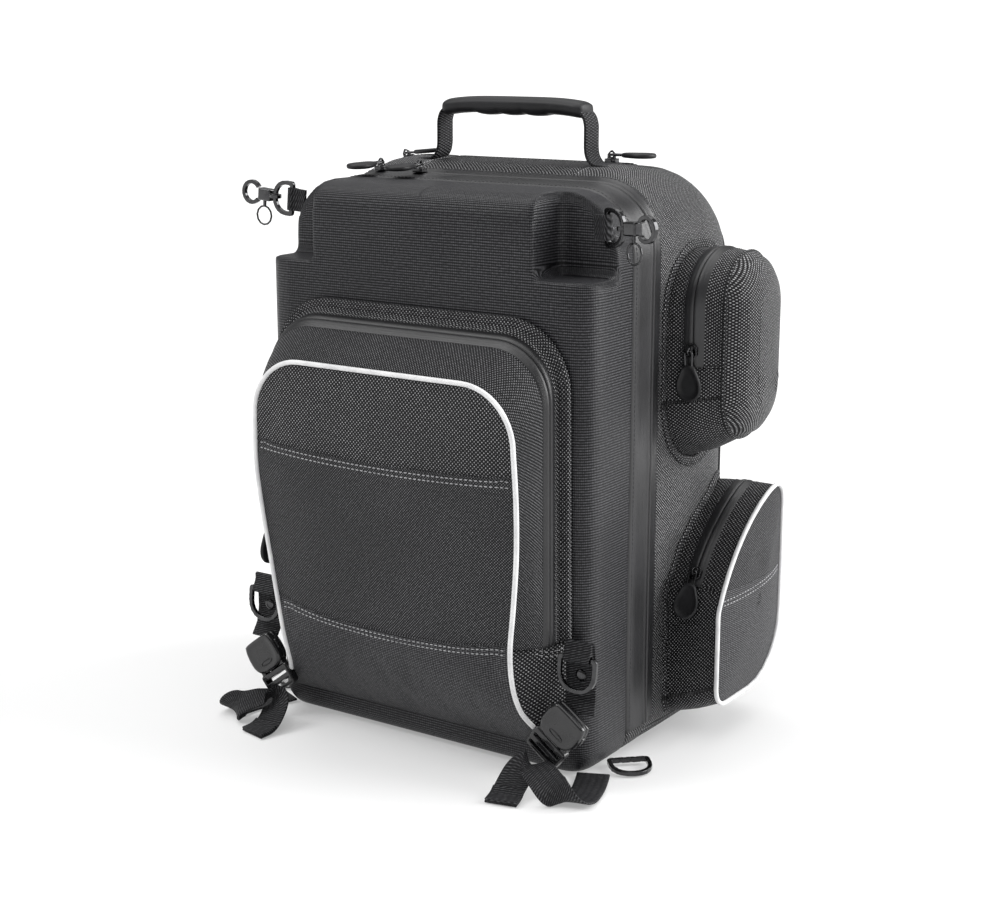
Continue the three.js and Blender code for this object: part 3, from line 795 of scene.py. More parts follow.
# Where the body is sewn to something and can't swell: round the side pockets, (y, z, half depth, half
# height), along its seams and under the zippers and the handle's feet.
POCKET_PATCHES = ((45, 301, 46, 78), (60, 84, 48, 70))
REAR_ZIP_BAND, HANDLE_BAND = (42, 9), (20, 7)
x, y, z = coordinates(body_form).T
sewn = (y < -10) | (np.abs(y - BACK_SEAM) < 4) | (z < BASE_SEAM + 4)
sewn |= (np.abs(np.abs(x) - TOP_SEAM) < 4) & (z > 300) & (y < BACK_SEAM)
sewn |= (np.abs(y - REAR_ZIP_BAND[0]) < REAR_ZIP_BAND[1]) & (z > 380)
sewn |= (np.abs(y - HANDLE_BAND[0]) < HANDLE_BAND[1]) & (np.abs(x) < 80) & (z > 380)
for middle_y, middle_z, half_y, half_z in POCKET_PATCHES:
    patch = ((y - middle_y) / half_y) ** 2 + ((z - middle_z) / half_z) ** 2 < 1
    sewn |= patch & (np.abs(x) > 130)
inflate(body_form, sewn * 1.0, 3.0, 5, give=0.006)
subdivide(body_form)
for seam in (-TOP_SEAM, TOP_SEAM):
    crease(body_form, 0, seam, 0.9)
crease(body_form, 1, BACK_SEAM, 1.2)
on_body = surface_of(body_form)

STRIP_REAR = 8
body_cuts = [((TOP_SEAM, 0, 0), (1, 0, 0)), ((-TOP_SEAM, 0, 0), (1, 0, 0)),
             ((0, BACK_SEAM, 0), (0, 1, 0)), ((0, 0, BASE_SEAM), (0, 0, 1)),
             ((0, front_edge[0], 0), (0, 1, 0)), ((0, STRIP_REAR, 0), (0, 1, 0))]
between = (lambda y: front_edge[0] < y < BACK_SEAM)
# Each CAD panel: which faces are its own, and the directions its weave follows.
panels = {
    "top_panel": (lambda x, y, z: abs(x) < TOP_SEAM and between(y) and z > 200, "xy"),
    "side_gusset_right": (lambda x, y, z: x > TOP_SEAM and between(y) and z > BASE_SEAM, "around"),
    "side_gusset_left": (lambda x, y, z: x < -TOP_SEAM and between(y) and z > BASE_SEAM, "around"),
    "back_panel": (lambda x, y, z: y > BACK_SEAM, "xz"),
    "base_panel": (lambda x, y, z: between(y) and z < BASE_SEAM, "xy"),
}


def lay_weave(obj, kind):
    """Lays the weave along two axes, or "around" a gusset that turns in over its top and foot."""
    x, y, z = coordinates(obj).T
    if kind == "around":
        slope = np.clip(3 * normals(obj)[:, 2], -1, 1)
        return set_weave(obj, np.stack([y, z + slope * (front_edge[1] - np.abs(x))], 1))
    return set_weave(obj, np.stack([{"x": x, "y": y, "z": z}[k] for k in kind], 1))


for panel, (keep, kind) in panels.items():
    piece = carve(body_form, panel + "_cloth", body_cuts, keep)
    lay_weave(piece, kind)
    thicken(face_away(piece, BAG_MIDDLE), CLOTH)
    if panel == "top_panel":
        paint(piece, [coarse_cloth, fine_cloth], lambda x, y, z: int(y > STRIP_REAR))
        place(piece, "bag_body", None, "ballistic_fabric", [panel])
    else:
        cloth = coarse_cloth if panel == "base_panel" else gusset_cloth
        place(piece, "bag_body", cloth, "ballistic_fabric", [panel])
bpy.data.objects.remove(body_form)
dress(frame["nodes"]["base_board"], [board_face])

rear_loop = resample(body_loop(BACK_SEAM), 300, closed=True)
rear_path, rear_facing = on_body(lifted(rear_loop, BACK_SEAM))
back_piping = sweep("back_piping", rear_path + rear_facing * 0.6, disc(1.7, 8), rear_facing, closed=True)
place(back_piping, "bag_body", piping_black, "webbing")

for side, sign in SIDES:
    for k, (off, thread) in enumerate(((3.2, light_thread), (7.4, dark_thread))):
        line = route([(sign * (TOP_SEAM + off), y, 440) for y in (-9, 0, 10, 20, 30)], 3)
        spots, facing = on_body(line)
        sew(f"top_seam_stitches_{side}_{k}", "bag_body", spots, facing, thread, thick=0.3)

# ---------- moulded shell ----------
shell_rows = [(shell_high[1] + 12, *SHELL_ROWS[0][1:]), *smooth(SHELL_ROWS, 4)]
shell_form = upright_form("shell_form", shell_rows, SHELL_CORNER)
BOX_FACES = [(0, 1, 3, 2), (4, 6, 7, 5), (0, 4, 5, 1), (2, 3, 7, 6), (0, 2, 6, 4), (1, 5, 7, 3)]
for sign in (-1, 1):
    corners = [(sign * x, y, z) for x in (NOTCH[0], 220) for y in (-200, NOTCH[1]) for z in (NOTCH[2], 500)]
    block = tidy_normals(make("notch_tool", corners, BOX_FACES))
    modify(shell_form, "BOOLEAN", object=block, operation="DIFFERENCE", solver="EXACT")
    bpy.data.objects.remove(block)
relax(remesh(shell_form, 2.6), 4)
tray = carve(shell_form, "shell_tray_cloth", [((0, shell_high[1], 0), (0, 1, 0))],
             lambda x, y, z: y < shell_high[1])
x, y, z = coordinates(tray).T
nz = np.clip(normals(tray)[:, 2], -1, 1)
depth = y - shell_low[1]
set_weave(tray, np.stack([x + np.sign(x) * depth, z + depth * nz], 1))
thicken(face_away(tray, SHELL_MIDDLE), SHELL_SKIN)
place(tray, "front_shell", rib_cloth, "shell_fabric", ["shell_tray"])
bpy.data.objects.remove(shell_form)


# ---------- main zipper round the shell ----------
LIP = [(0.12, -0.9), (0.12, 0.6), (0.5, 1.1), (1.6, 1.35), (3.0, 1.25), (4.2, 0.8)]


def zip_half(name, outline_at, centre, toward, width, body, edge=((-0.9, 0.55), (0.0, 0.15)), base=-0.9,
             material=smooth_tape):
    """One half of a coated zipper's tape, with its lip at the closing line."""
    tail = [(width + d, r) for d, r in edge]
    profile = [*LIP, (4.9, 0.6), (width / 2 + 2.4, 0.7), *tail, (width, base), (width / 2, base)]
    tape = band(name, outline_at, [(centre + toward * d, r) for d, r in profile])
    place(tape, body, material, "zipper_tape")


def main_loop(y):
    """The bag's outline under the main zipper, between the shell's edge and the body's."""
    ends = np.array(sorted([BODY_ROWS[0], SHELL_ROWS[0], *BODY_ROWS[1:3]]))
    half, bottom, top = [np.interp(y, ends[:, 0], ends[:, k]) for k in (1, 2, 3)]
    return upright(half, bottom + 0.3, top, BODY_CORNER)


ZIP_FOOT = 19
main_arch = upright_arch(main_loop, ZIP_FOOT, 250)
SHELL_TAPE = ZIP_Y - shell_high[1]
BODY_TAPE = 11.5
# Each half's name, body, width, outer edge and depth of its underside.
main_halves = (
    ("main_zip_shell_half", "front_shell", -1, SHELL_TAPE, ((-2.6, 0.5), (-1.4, -0.3), (-0.4, -1.6)), -2.0),
    ("main_zip_body_half", "bag_body", 1, BODY_TAPE, ((-0.9, 0.55), (0.0, 0.15)), -0.9),
)
for name, body, toward, width, edge, base in main_halves:
    zip_half(name, main_arch, ZIP_Y, toward, width, body, edge, base)
    row = teeth_row(name + "_teeth", *main_arch(ZIP_Y), np.array((0.0, toward, 0.0)), sunk=1.3)
    place(row, body, teeth_plastic, "zipper_tape")
for k, (offset, body) in enumerate(((-SHELL_TAPE + 5, "front_shell"), (BODY_TAPE - 2.2, "bag_body"))):
    points, facing = main_arch(ZIP_Y + offset)
    sew(f"main_zip_stitches_{k}", body, points + facing * 0.75, facing, thick=0.28)


def low_part(y, rise):
    """The foot of the zipper band, which is plain cloth: it carries the shell and bends at the hinge."""
    loop = main_loop(y)
    loop = np.roll(loop, -int(np.argmax(loop[:, 1])), axis=0)
    part = resample(np.array([p for p in loop if p[1] < ZIP_FOOT + 1]), 110)
    facing = outward_normals(part, closed=False)
    facing *= np.sign((facing * (part - (0, 200))).sum())
    return lifted(part, y) + lifted(facing, 0) * rise


foot_front, foot_rear = shell_high[1] + 0.4, ZIP_Y - 0.6
FOOT_PROFILE = [(foot_front, -2.2), (foot_front, -0.4), (-45, 0), (-30, 0), (foot_rear, -0.2),
                (foot_rear, -2.2), (-38, -2.4)]
foot_rows = [low_part(y, r) for y, r in FOOT_PROFILE]
foot_band = skin("shell_foot_band", np.stack(foot_rows, 1), ends=(True, True))
place(foot_band, "front_shell", coarse_cloth, "zipper_tape", ["shell_zipper_band"])
HINGE_PROFILE = [(-31, -2.6), (-27, -2.5), (-23, -2.4), (-19, -2.6), (-15, -2.8),
                 (-15, -3.6), (-19, -3.4), (-23, -3.2), (-27, -3.3), (-31, -3.4)]
hinge_rows = [low_part(y, r)[18:-18] for y, r in HINGE_PROFILE]
hinge_cloth = skin("hinge_cloth", np.stack(hinge_rows, 1), ends=(True, True))
place(hinge_cloth, ("front_shell", "bag_body", (0, -28, 0), (0, -18, 0)), coarse_cloth, "ballistic_fabric")

# ---------- second zipper across the top ----------
REAR_ZIP_Y = anchor("rear_zip_right_swing")[1]
rear_guess = above(body_loop(REAR_ZIP_Y), 415, 120)
rear_guess = rear_guess[::-1] if rear_guess[0, 0] > rear_guess[-1, 0] else rear_guess
rear_guess = resample(rear_guess[rear_guess[:, 0] < 92], 80)


def rear_path_at(y):
    """outline_at for the second zipper: it lies on the cloth, with the height of the line at y."""
    spots, facing = on_body(lifted(rear_guess, REAR_ZIP_Y))
    facing[:, 1] = 0
    sides, _ = on_body(lifted(rear_guess, y))
    spots[:, 2] = sides[:, 2]
    spots[:, 1] = y
    return spots, unit(facing)


for k, toward in enumerate((-1, 1)):
    zip_half(f"rear_zip_half_{k}", rear_path_at, REAR_ZIP_Y, toward, 11, "bag_body", material=dark_tape)
    points, facing = rear_path_at(REAR_ZIP_Y + toward * 9)
    sew(f"rear_zip_stitches_{k}", "bag_body", points + facing * 0.75, facing, thick=0.28)

# ---------- front pocket ----------
POCKET_REAR = limits("front_pocket_base")[1][1]
FRONT_FACE = limits("front_pocket_cover")[0][1]
# (y, half width at the foot, half width at the head, foot, head, head corner radius)
FRONT_ROWS = [(POCKET_REAR, 134, 127, 22, 343, 44), (-118, 130, 126.5, 42, 335, 44),
              (-142, 126, 125, 86, 320, 42), (-159, 123, 122, 114, 309, 40),
              (FRONT_FACE, 116, 115, 124, 301, 38)]
RIM_Y = -118
FOLD = ("front_shell", "front_cover", (0, 0, FRONT_HINGE[2] - 7), (0, 0, FRONT_HINGE[2] + 7))


def front_loop(y):
    """The front pocket's outline round its zipper."""
    foot, head, _, top, corner = rows_at(FRONT_ROWS, min(y, RIM_Y))
    corners = [(-foot, 50, 20), (foot, 50, 20), (head, top, corner), (-head, top, corner)]
    return rounded_loop(corners, 12, 30)


front_arch = upright_arch(front_loop, FRONT_HINGE[2] + 0.3, 200)

# Front panel: levels from the pocket's foot on the shell, up the slope and face, to the rounded head.
# (level, depth, half width) of its sewn edge; it narrows to a waist near the lower seam.
EDGE_ROWS = np.array([(22, -112.6, 128), (34, -123, 121.5), (48, -133.5, 113), (60, -140.5, 109),
                      (80, -147.5, 107.5), (107, -152, 108.5), (140, -154, 112.5), (180, -157, 117),
                      (220, -160.5, 119), (257, -162, 117.5)])
HEAD_CORNER = 44
HEAD_LEVEL = EDGE_ROWS[-1, 0]
SEAM_HIGH, SEAM_LOW = 239, 111
edge_curve = smooth(EDGE_ROWS, 6)


def face_half(level):
    """Half the front panel's width at that level."""
    if level <= HEAD_LEVEL:
        return np.interp(level, edge_curve[:, 0], edge_curve[:, 2])
    t = (level - HEAD_LEVEL) / HEAD_CORNER
    return EDGE_ROWS[-1, 2] - HEAD_CORNER * (1 - math.sqrt(max(0, 1 - t * t)))


def face_y(level):
    """The depth of the front panel's edge at that level."""
    return np.interp(level, edge_curve[:, 0], edge_curve[:, 1])


def face_point(s, level):
    """s runs from -1 to 1 across the panel; the levels dip in the middle near the two seams."""
    dip = np.interp(level, (22, SEAM_LOW, SEAM_HIGH, HEAD_LEVEL + HEAD_CORNER), (0, 8.5, 4.5, 0))
    groove = sum(math.exp(-((level - seam) / 1.3) ** 2) for seam in (SEAM_LOW, SEAM_HIGH))
    return face_half(level) * s, face_y(level) + groove, level - dip * (1 - s * s)


near_seams = [seam + k for seam in (SEAM_LOW, SEAM_HIGH) for k in (-3, -1.5, 0, 1.5, 3)]
spread_levels = [z for z in np.arange(EDGE_ROWS[0, 0], HEAD_LEVEL + 0.1, 4.3)
                 if min(abs(z - SEAM_LOW), abs(z - SEAM_HIGH)) > 4.5]
head_levels = [HEAD_LEVEL + HEAD_CORNER * math.sin(a) for a in np.linspace(0, math.pi / 2, 12)[1:]]
levels = sorted([*near_seams, *spread_levels]) + head_levels
across = np.linspace(-1, 1, 57)
front_panel = sheet("front_panel", [[face_point(s, z) for s in across] for z in levels], (0, -60, 200))
for face in front_panel.data.polygons:
    middle = sum(levels[v // len(across)] for v in face.vertices) / 4
    face.material_index = 0 if middle > SEAM_HIGH else 1 if middle > SEAM_LOW else 2
for cloth in (coarse_cloth, fine_cloth, foot_cloth):
    front_panel.data.materials.append(cloth)
edge_pin = np.zeros((len(levels), len(across)))
edge_pin[[0, -1], :] = 1
edge_pin[:, [0, -1]] = 1
inflate(front_panel, edge_pin.ravel(), 6, 7, give=0.006)
subdivide(front_panel)
on_front = surface_of(front_panel)
x, y, z = coordinates(front_panel).T
set_weave(front_panel, np.stack([x, z], 1))
thicken(front_panel, CLOTH)
place(front_panel, FOLD, None, "ballistic_fabric", ["front_pocket_cover", "front_pocket_base"])


def along_panel(level, reach):
    """A line across the front panel's cloth: its points and the way they face."""
    return on_front([np.array(face_point(s, level)) - (0, 8, 0) for s in np.linspace(-reach, reach, 90)])


for seam, rises, body in ((SEAM_HIGH, (-3.2, -7.0), "front_cover"), (SEAM_LOW, (-3.4, -7.6), FOLD)):
    for k, rise in enumerate(rises):
        spots, facing = along_panel(seam + rise, 0.97)
        sew(f"front_stitches_{seam}_{k}", body, spots, facing, light_thread, pitch=4.0, stitch=2.9,
            thick=0.5)
    spots, facing = along_panel(seam - 0.7, 1)
    edge_roll = sweep(f"front_turned_edge_{seam}", spots, disc(0.75, 8), facing)
    place(edge_roll, body, fine_cloth, "ballistic_fabric")



def over_the_top(right):
    """A path up the right side and down its reflection on the left."""
    return np.array([*right, *[(-x, y, z) for x, y, z in right[::-1]]])


pipe_right = [(face_half(z) + 0.6, face_y(z) - 0.4, z) for z in levels if z > 34]
pipe_path = resample(over_the_top(pipe_right), 420)
place(sweep("front_piping", pipe_path, disc(1.9, 10), (0, -1, 0)), FOLD, piping_white, "webbing")

# Gusset of the cover, from the zipper's tape to the piping.
over_hinge = [FRONT_HINGE[2] + 0.3, *[z for z in levels if z > FRONT_HINGE[2] + 1]]
edge_path = resample(over_the_top([(face_half(z), face_y(z), z) for z in over_hinge]), 200)
tape_edge, tape_out = front_arch(FRONT_ZIP_Y - 6.4)
if np.linalg.norm(tape_edge[0] - edge_path[0]) > 50:
    edge_path = edge_path[::-1]
gusset_rings = []
for t in np.linspace(0, 1, 12):
    bulge = 1.6 * math.sin(math.pi * t) + 0.3
    gusset_rings.append(tape_edge * (1 - t) + edge_path * t + tape_out * bulge)
gusset = sheet("front_gusset", gusset_rings, (0, -140, 200))
place(thicken(gusset, THIN_CLOTH), "front_cover", fine_cloth, "ballistic_fabric")

WALL_PROFILE = [(POCKET_REAR, 0), (-118, 0.2), (FRONT_ZIP_Y + 5.6, 0.3)]
wall = sheet("front_base_wall", lines_along(front_arch, smooth(WALL_PROFILE, 3)), (0, -120, 200))
place(thicken(wall, THIN_CLOTH), "front_shell", coarse_cloth, "ballistic_fabric")
rim_profile = [(POCKET_REAR, -1.0), (POCKET_REAR, 6.8), (-113.4, 7.6), (-116.0, 7.6), (-117.2, 6.8),
               (-117.6, 1.2), (-118.2, 0.5), (-121.5, 0.4), (-121.5, -0.6)]
place(band("front_rim", front_arch, rim_profile), "front_shell", coarse_cloth, "ballistic_fabric")
for k, (depth, rise) in enumerate(((-117.5, 5.6), (-117.8, 2.6))):
    points, facing = front_arch(depth)
    sew(f"front_rim_stitches_{k}", "front_shell", points + facing * rise, (0, -1, 0), thick=0.3)
FRONT_TAPE = [(0.12, -0.9), (0.12, 1.2), (0.7, 1.8), (2.0, 2.0), (3.4, 1.7), (4.4, 0.9), (6.4, 0.7),
              (7.0, -0.6)]
for toward, body in ((1, "front_shell"), (-1, "front_cover")):
    half_name = f"front_zip_half_{body}"
    tape = band(half_name, front_arch, [(FRONT_ZIP_Y + toward * d, r) for d, r in FRONT_TAPE])
    place(tape, body, dark_tape, "zipper_tape")
    row = teeth_row(half_name + "_teeth", *front_arch(FRONT_ZIP_Y), np.array((0.0, toward, 0.0)))
    place(row, body, teeth_plastic, "zipper_tape")

# Lower side of the pocket, from the piping back to the shell.
for side, sign in SIDES:
    rings = []
    for z in np.linspace(EDGE_ROWS[0, 0] + 1, FRONT_HINGE[2] - 0.2, 22):
        edge_x = face_half(z)
        depths = np.linspace(face_y(z) + 0.3, POCKET_REAR + 0.2, 14)
        shares = (depths - depths[0]) / max(1e-6, depths[-1] - depths[0])
        widening = FRONT_ROWS[0][1] - edge_x
        rings.append([(sign * (edge_x + widening * t + 1.6 * math.sin(math.pi * t)), d, z)
                      for t, d in zip(shares, depths)])
    cheek = sheet(f"front_cheek_{side}", rings, (0, -130, 60))
    set_weave(cheek, coordinates(cheek)[:, 1:])
    on_cheek = surface_of(cheek)
    place(thicken(cheek, THIN_CLOTH), "front_shell", coarse_cloth, "ballistic_fabric")
    for k, z in enumerate((SEAM_LOW - 5.0, SEAM_LOW - 8.6)):
        spots, facing = on_cheek([(sign * 140, y, z + 4 * math.sin((y + 114) / 40 * math.pi))
                                  for y in np.linspace(-114, -151, 20)])
        sew(f"cheek_stitches_{side}_{k}", "front_shell", spots, facing, light_thread, pitch=4.0, stitch=2.9,
            thick=0.45)


# ---------- side pockets ----------
# Everything is made on the right and reflected to the left.
# The arc on top of the lower pocket: its radius and centre (y, z), and how far it stops short of the rear.
LEAF_RADIUS, LEAF_CENTRE, LEAF_TAIL = 150, (140, 48), 9
# Where a side pocket's wall leaves the gusset.
WALL_FOOT = 150
# (x, middle y, middle z, half depth, half height)
UPPER_ROWS = [(144, 45, 301, 48, 80), (149, 45, 301, 48, 80), (170, 46, 305, 44.3, 77.3),
              (188, 48, 309, 37.5, 71.5), (192, 48, 310, 36.5, 70.5), (200, 48, 310, 32, 66),
              (206, 48, 310, 26, 57), (210, 48, 310, 17, 44)]
# (x, front, rear, foot, radius of the rear foot corner)
LOWER_ROWS = [(144, 9, 108, 14, 16), (149, 9, 108, 14, 16), (176, 5, 109, 24, 40), (196, 3, 110, 33, 52)]


def oval(x):
    """The upper pocket's outline at that distance from the middle of the bag, as (y, z) points."""
    cy, cz, hy, hz = rows_at(UPPER_ROWS, x)
    return resample(rounded_box(hy, hz, 0.96 * hy, 14, 10) + (cy, cz), 168, closed=True)


def leaf(x):
    """The lower pocket's outline: straight front, foot and rear, and a long sloping arc on top."""
    front, rear, bottom, heel = rows_at(LOWER_ROWS, x)
    cy, cz = LEAF_CENTRE
    first_angle = math.acos((cy - rear + LEAF_TAIL) / LEAF_RADIUS)
    angles = np.linspace(first_angle, math.acos((cy - front) / LEAF_RADIUS), 9)
    arc = [(cy - LEAF_RADIUS * math.cos(a), cz + LEAF_RADIUS * math.sin(a), 60) for a in angles[1:-1]]
    first = cz + LEAF_RADIUS * math.sin(angles[0])
    last = cz + LEAF_RADIUS * math.sin(angles[-1])
    return resample(rounded_loop([(front, bottom, 15), (rear, bottom, heel), (rear, first + 1, 12), *arc,
                                  (front, last, 14)], 6, 6), 168, closed=True)


def side_ring(shape, x, rise=0.0):
    """A side pocket's outline at x, that far outside its wall, as (x, y, z) points."""
    loop = shape(x)
    loop = loop + outward_normals(loop) * rise
    return np.column_stack([np.full(len(loop), x), loop])


def on_gusset(ring, proud):
    """A ring laid on the side gusset, standing that far proud of it."""
    ring = ring.copy()
    ring[:, 1] = np.clip(ring[:, 1], -19, 99)
    spots, facing = on_body(ring + (20, 0, 0))
    return spots + facing * proud


def side_arch(shape, seam, count=120):
    """outline_at for a band over a side pocket, above its seam."""
    def outline_at(x):
        path = above(shape(x), seam + 0.3, count)
        facing = outward_normals(path, closed=False)
        return (np.column_stack([np.full(count, x), path]), np.column_stack([np.zeros(count), facing]))
    return outline_at


def both(piece, body, material, slot, replaces=()):
    """Places a right-hand piece and its reflection; "right" in body and node names becomes "left"."""
    swap = (lambda text: text.replace("right", "left"))
    twin = mirror_of(piece, swap(piece.name))
    place(piece, body, material, slot, replaces)
    if isinstance(body, tuple):
        twin_body = (swap(body[0]), swap(body[1]), *[(-p[0], p[1], p[2]) for p in body[2:]])
    else:
        twin_body = swap(body)
    place(twin, twin_body, material, slot, [swap(r) for r in replaces])


def side_pocket(stem, shape, wall_end, crown, grooves=None):
    """The outer skin of a side pocket, from the gusset to the middle of its face."""
    foot = on_gusset(side_ring(shape, WALL_FOOT), -1.5)
    walls = [side_ring(shape, x, rise=0.5 * math.sin(math.pi * (x - WALL_FOOT) / (wall_end - WALL_FOOT)))
             for x in np.arange(WALL_FOOT + 4, wall_end + 0.1, 3)]
    rows = UPPER_ROWS if shape is oval else LOWER_ROWS
    faces = [side_ring(shape, x) for x in np.arange(wall_end + 1.5, rows[-1][0] + 0.1, 1.5)]
    last = faces[-1] if faces else walls[-1]
    edge_x = last[0, 0]
    middle = last.mean(0)
    cap = []
    for s in np.linspace(0.95, 0.05, 19):
        ring = middle + (last - middle) * s
        ring[:, 0] = edge_x + crown * (1 - s ** 2.2)
        if grooves is not None:
            ring[:, 0] += grooves(ring)
        cap.append(ring)
    skin_rings = [foot, *walls, *faces, *cap]
    whole = skin(f"{stem}_form", skin_rings, ends=(False, True))
    face_away(whole, (140, 48, rows[0][2]))
    loop = np.linspace(0, 480, len(last), endpoint=False)
    weave = []
    for ring in skin_rings:
        inside = ring[0, 0] >= edge_x - 0.01 or ring[0, 0] > wall_end
        weave.extend(ring[:, 1:] if inside else np.column_stack([ring[:, 0], loop]))
    set_weave(whole, weave)
    return whole


def dome_rings(ring):
    """Shallow moulded rings low on the upper pocket's face."""
    far = np.hypot((ring[:, 1] - 50) / 0.8, ring[:, 2] - 274)
    waves = sum(np.exp(-((far - radius) / 1.6) ** 2) for radius in (15, 21, 27))
    return 0.9 * waves * (ring[:, 2] < 290)


# Half width of a side pocket's zipper, and its section: (distance from the closing line, rise).
TAPE = 6.5
SIDE_TAPE = [(0.12, -0.9), (0.12, 0.7), (0.6, 1.2), (1.8, 1.35), (3.2, 1.1), (4.4, 0.5), (TAPE + 0.8, 0.5),
             (TAPE + 1.2, -0.2), (TAPE, -1.2), (3, -1.2)]
# Each kind's outline, seam, end of its wall, crown of its face, moulded rings and cloth.
pocket_kinds = {
    "upper": (oval, UPPER_SEAM, 190.5, 1.5, dome_rings, gusset_cloth),
    "lower": (leaf, LOWER_SEAM, 196, 6.5, None, fine_cloth),
}
for stem, (shape, seam, wall_end, crown, grooves, face_cloth) in pocket_kinds.items():
    whole = side_pocket(stem, shape, wall_end, crown, grooves)
    if stem == "lower":
        co = coordinates(whole)
        slack = np.clip((co[:, 0] - 199) / 3, 0, 1)
        folds = 0.5 * np.sin(co[:, 1] / 5.5 + co[:, 2] / 21)
        folds += 0.4 * np.sin(co[:, 1] / 8.0 - co[:, 2] / 13 + 1)
        co[:, 0] += slack * folds * np.clip((co[:, 2] - LOWER_SEAM) / 12, 0, 1)
        move_points(whole, co)
    subdivide(whole)
    on_face = surface_of(whole)
    cuts = [((0, 0, seam), (0, 0, 1)),
            *[((x, 0, 0), (1, 0, 0)) for x in (SIDE_ZIP_X - TAPE, SIDE_ZIP_X + TAPE, wall_end)]]
    cloth_choice = [coarse_cloth, face_cloth, foot_cloth if stem == "lower" else face_cloth]

    def choose(x, y, z):
        return 0 if x < wall_end else 1 if z > seam else 2

    base = carve(whole, f"{stem}_base_right_cloth", cuts,
                 lambda x, y, z: x < SIDE_ZIP_X - TAPE or z < seam)
    cover = carve(whole, f"{stem}_cover_right_cloth", cuts,
                  lambda x, y, z: x > SIDE_ZIP_X + TAPE and z > seam)
    bpy.data.objects.remove(whole)
    for piece, body, stands_for in ((base, "bag_body", f"{stem}_pocket_base_right"),
                                    (cover, f"{stem}_cover_right", f"{stem}_pocket_cover_right")):
        thicken(piece, CLOTH)
        paint(piece, cloth_choice, choose)
        both(piece, body, None, "ballistic_fabric", [stands_for])

    arch = side_arch(shape, seam)
    for half, toward, body in (("inner", -1, "bag_body"), ("outer", 1, f"{stem}_cover_right")):
        tape = band(f"{stem}_zip_{half}_right", arch, [(SIDE_ZIP_X + toward * d, r) for d, r in SIDE_TAPE])
        both(tape, body, smooth_tape, "zipper_tape")
        row = teeth_row(f"{stem}_teeth_{half}_right", *arch(SIDE_ZIP_X), np.array((toward, 0.0, 0.0)))
        both(row, body, teeth_plastic, "zipper_tape")
        points, facing = arch(SIDE_ZIP_X + toward * (TAPE + 2.2))
        row = stitch_row(f"{stem}_zip_stitches_{half}_right", points + facing * 0.6, facing, thick=0.3)
        both(row, body, dark_thread, "webbing")

    # Flange sewn to the gusset round the pocket, with its stitching.
    spread = [(-1.5, -0.8), (0.0, 1.6), (1.2, 1.9), (6.4, 1.7), (7.2, 1.0), (7.2, -0.8)]
    flange = np.stack([on_gusset(side_ring(shape, WALL_FOOT, rise=r), proud) for r, proud in spread], 1)
    both(loop_skin(f"{stem}_flange_right", flange), "bag_body", coarse_cloth, "ballistic_fabric")
    line = on_gusset(side_ring(shape, WALL_FOOT, rise=4.6), 1.95)
    _, facing = on_body(line)
    row = stitch_row(f"{stem}_flange_stitches_right", line, facing, thick=0.3)
    both(row, "bag_body", dark_thread, "webbing")

    # Piping where the face joins the wall: raised cloth welt above, white cord below.
    facing = side_ring(shape, wall_end, rise=1.0) - side_ring(shape, wall_end)
    if stem == "lower":
        loop = side_ring(shape, wall_end + 0.5, rise=0.5)
        first = -int(np.argmin(loop[:, 2]))
        ring = sweep("lower_piping_right", np.roll(loop, first, axis=0), disc(1.8, 10),
                     np.roll(facing, first, axis=0), closed=True)
        across_fold = ("bag_body", "lower_cover_right", (198, 57, seam - 6), (198, 57, seam + 6))
        both(ring, across_fold, piping_white, "webbing")
        for k, rise in enumerate((-2.6, -6.0)):
            spots, out = on_face([(204, y, seam - 4 + 9 * (y / 110) ** 2 * 0.8 + rise)
                                  for y in np.linspace(8, 104, 60)])
            row = stitch_row(f"lower_face_stitches_{k}_right", spots, out, 3.8, 2.8, 0.45)
            both(row, "bag_body", light_thread, "webbing")
    else:
        loop = side_ring(shape, wall_end, rise=0.3)
        rim = np.roll(loop, -int(np.argmin(loop[:, 2])), axis=0)
        cover_rim = np.array([p for p in rim if p[2] > seam + 0.4])
        base_rim = np.array([p for p in np.roll(rim, len(rim) // 2, axis=0) if p[2] < seam - 0.4])
        welts = (("cover", cover_rim, "upper_cover_right"), ("base", base_rim, "bag_body"))
        for label, path, body in welts:
            welt = sweep(f"upper_welt_{label}_right", path, disc(1.2, 8), (1, 0, 0))
            both(welt, body, coarse_cloth, "webbing")

    # Turned edges along the fold, one on each side of the seam.
    for label, z, body in (("low", seam - 1.0, "bag_body"), ("high", seam + 1.0, f"{stem}_cover_right")):
        for end in (0, 1):
            row = [(x, *above(shape(x), z, 40)[-1 if end else 0])
                   for x in np.linspace(SIDE_ZIP_X + TAPE + 0.5, wall_end - 1, 10)]
            spots, out = on_face(row)
            both(sweep(f"{stem}_fold_{label}_{end}_right", spots, disc(1, 8) * (0.7, 0.55), out),
                 body, coarse_cloth, "webbing")


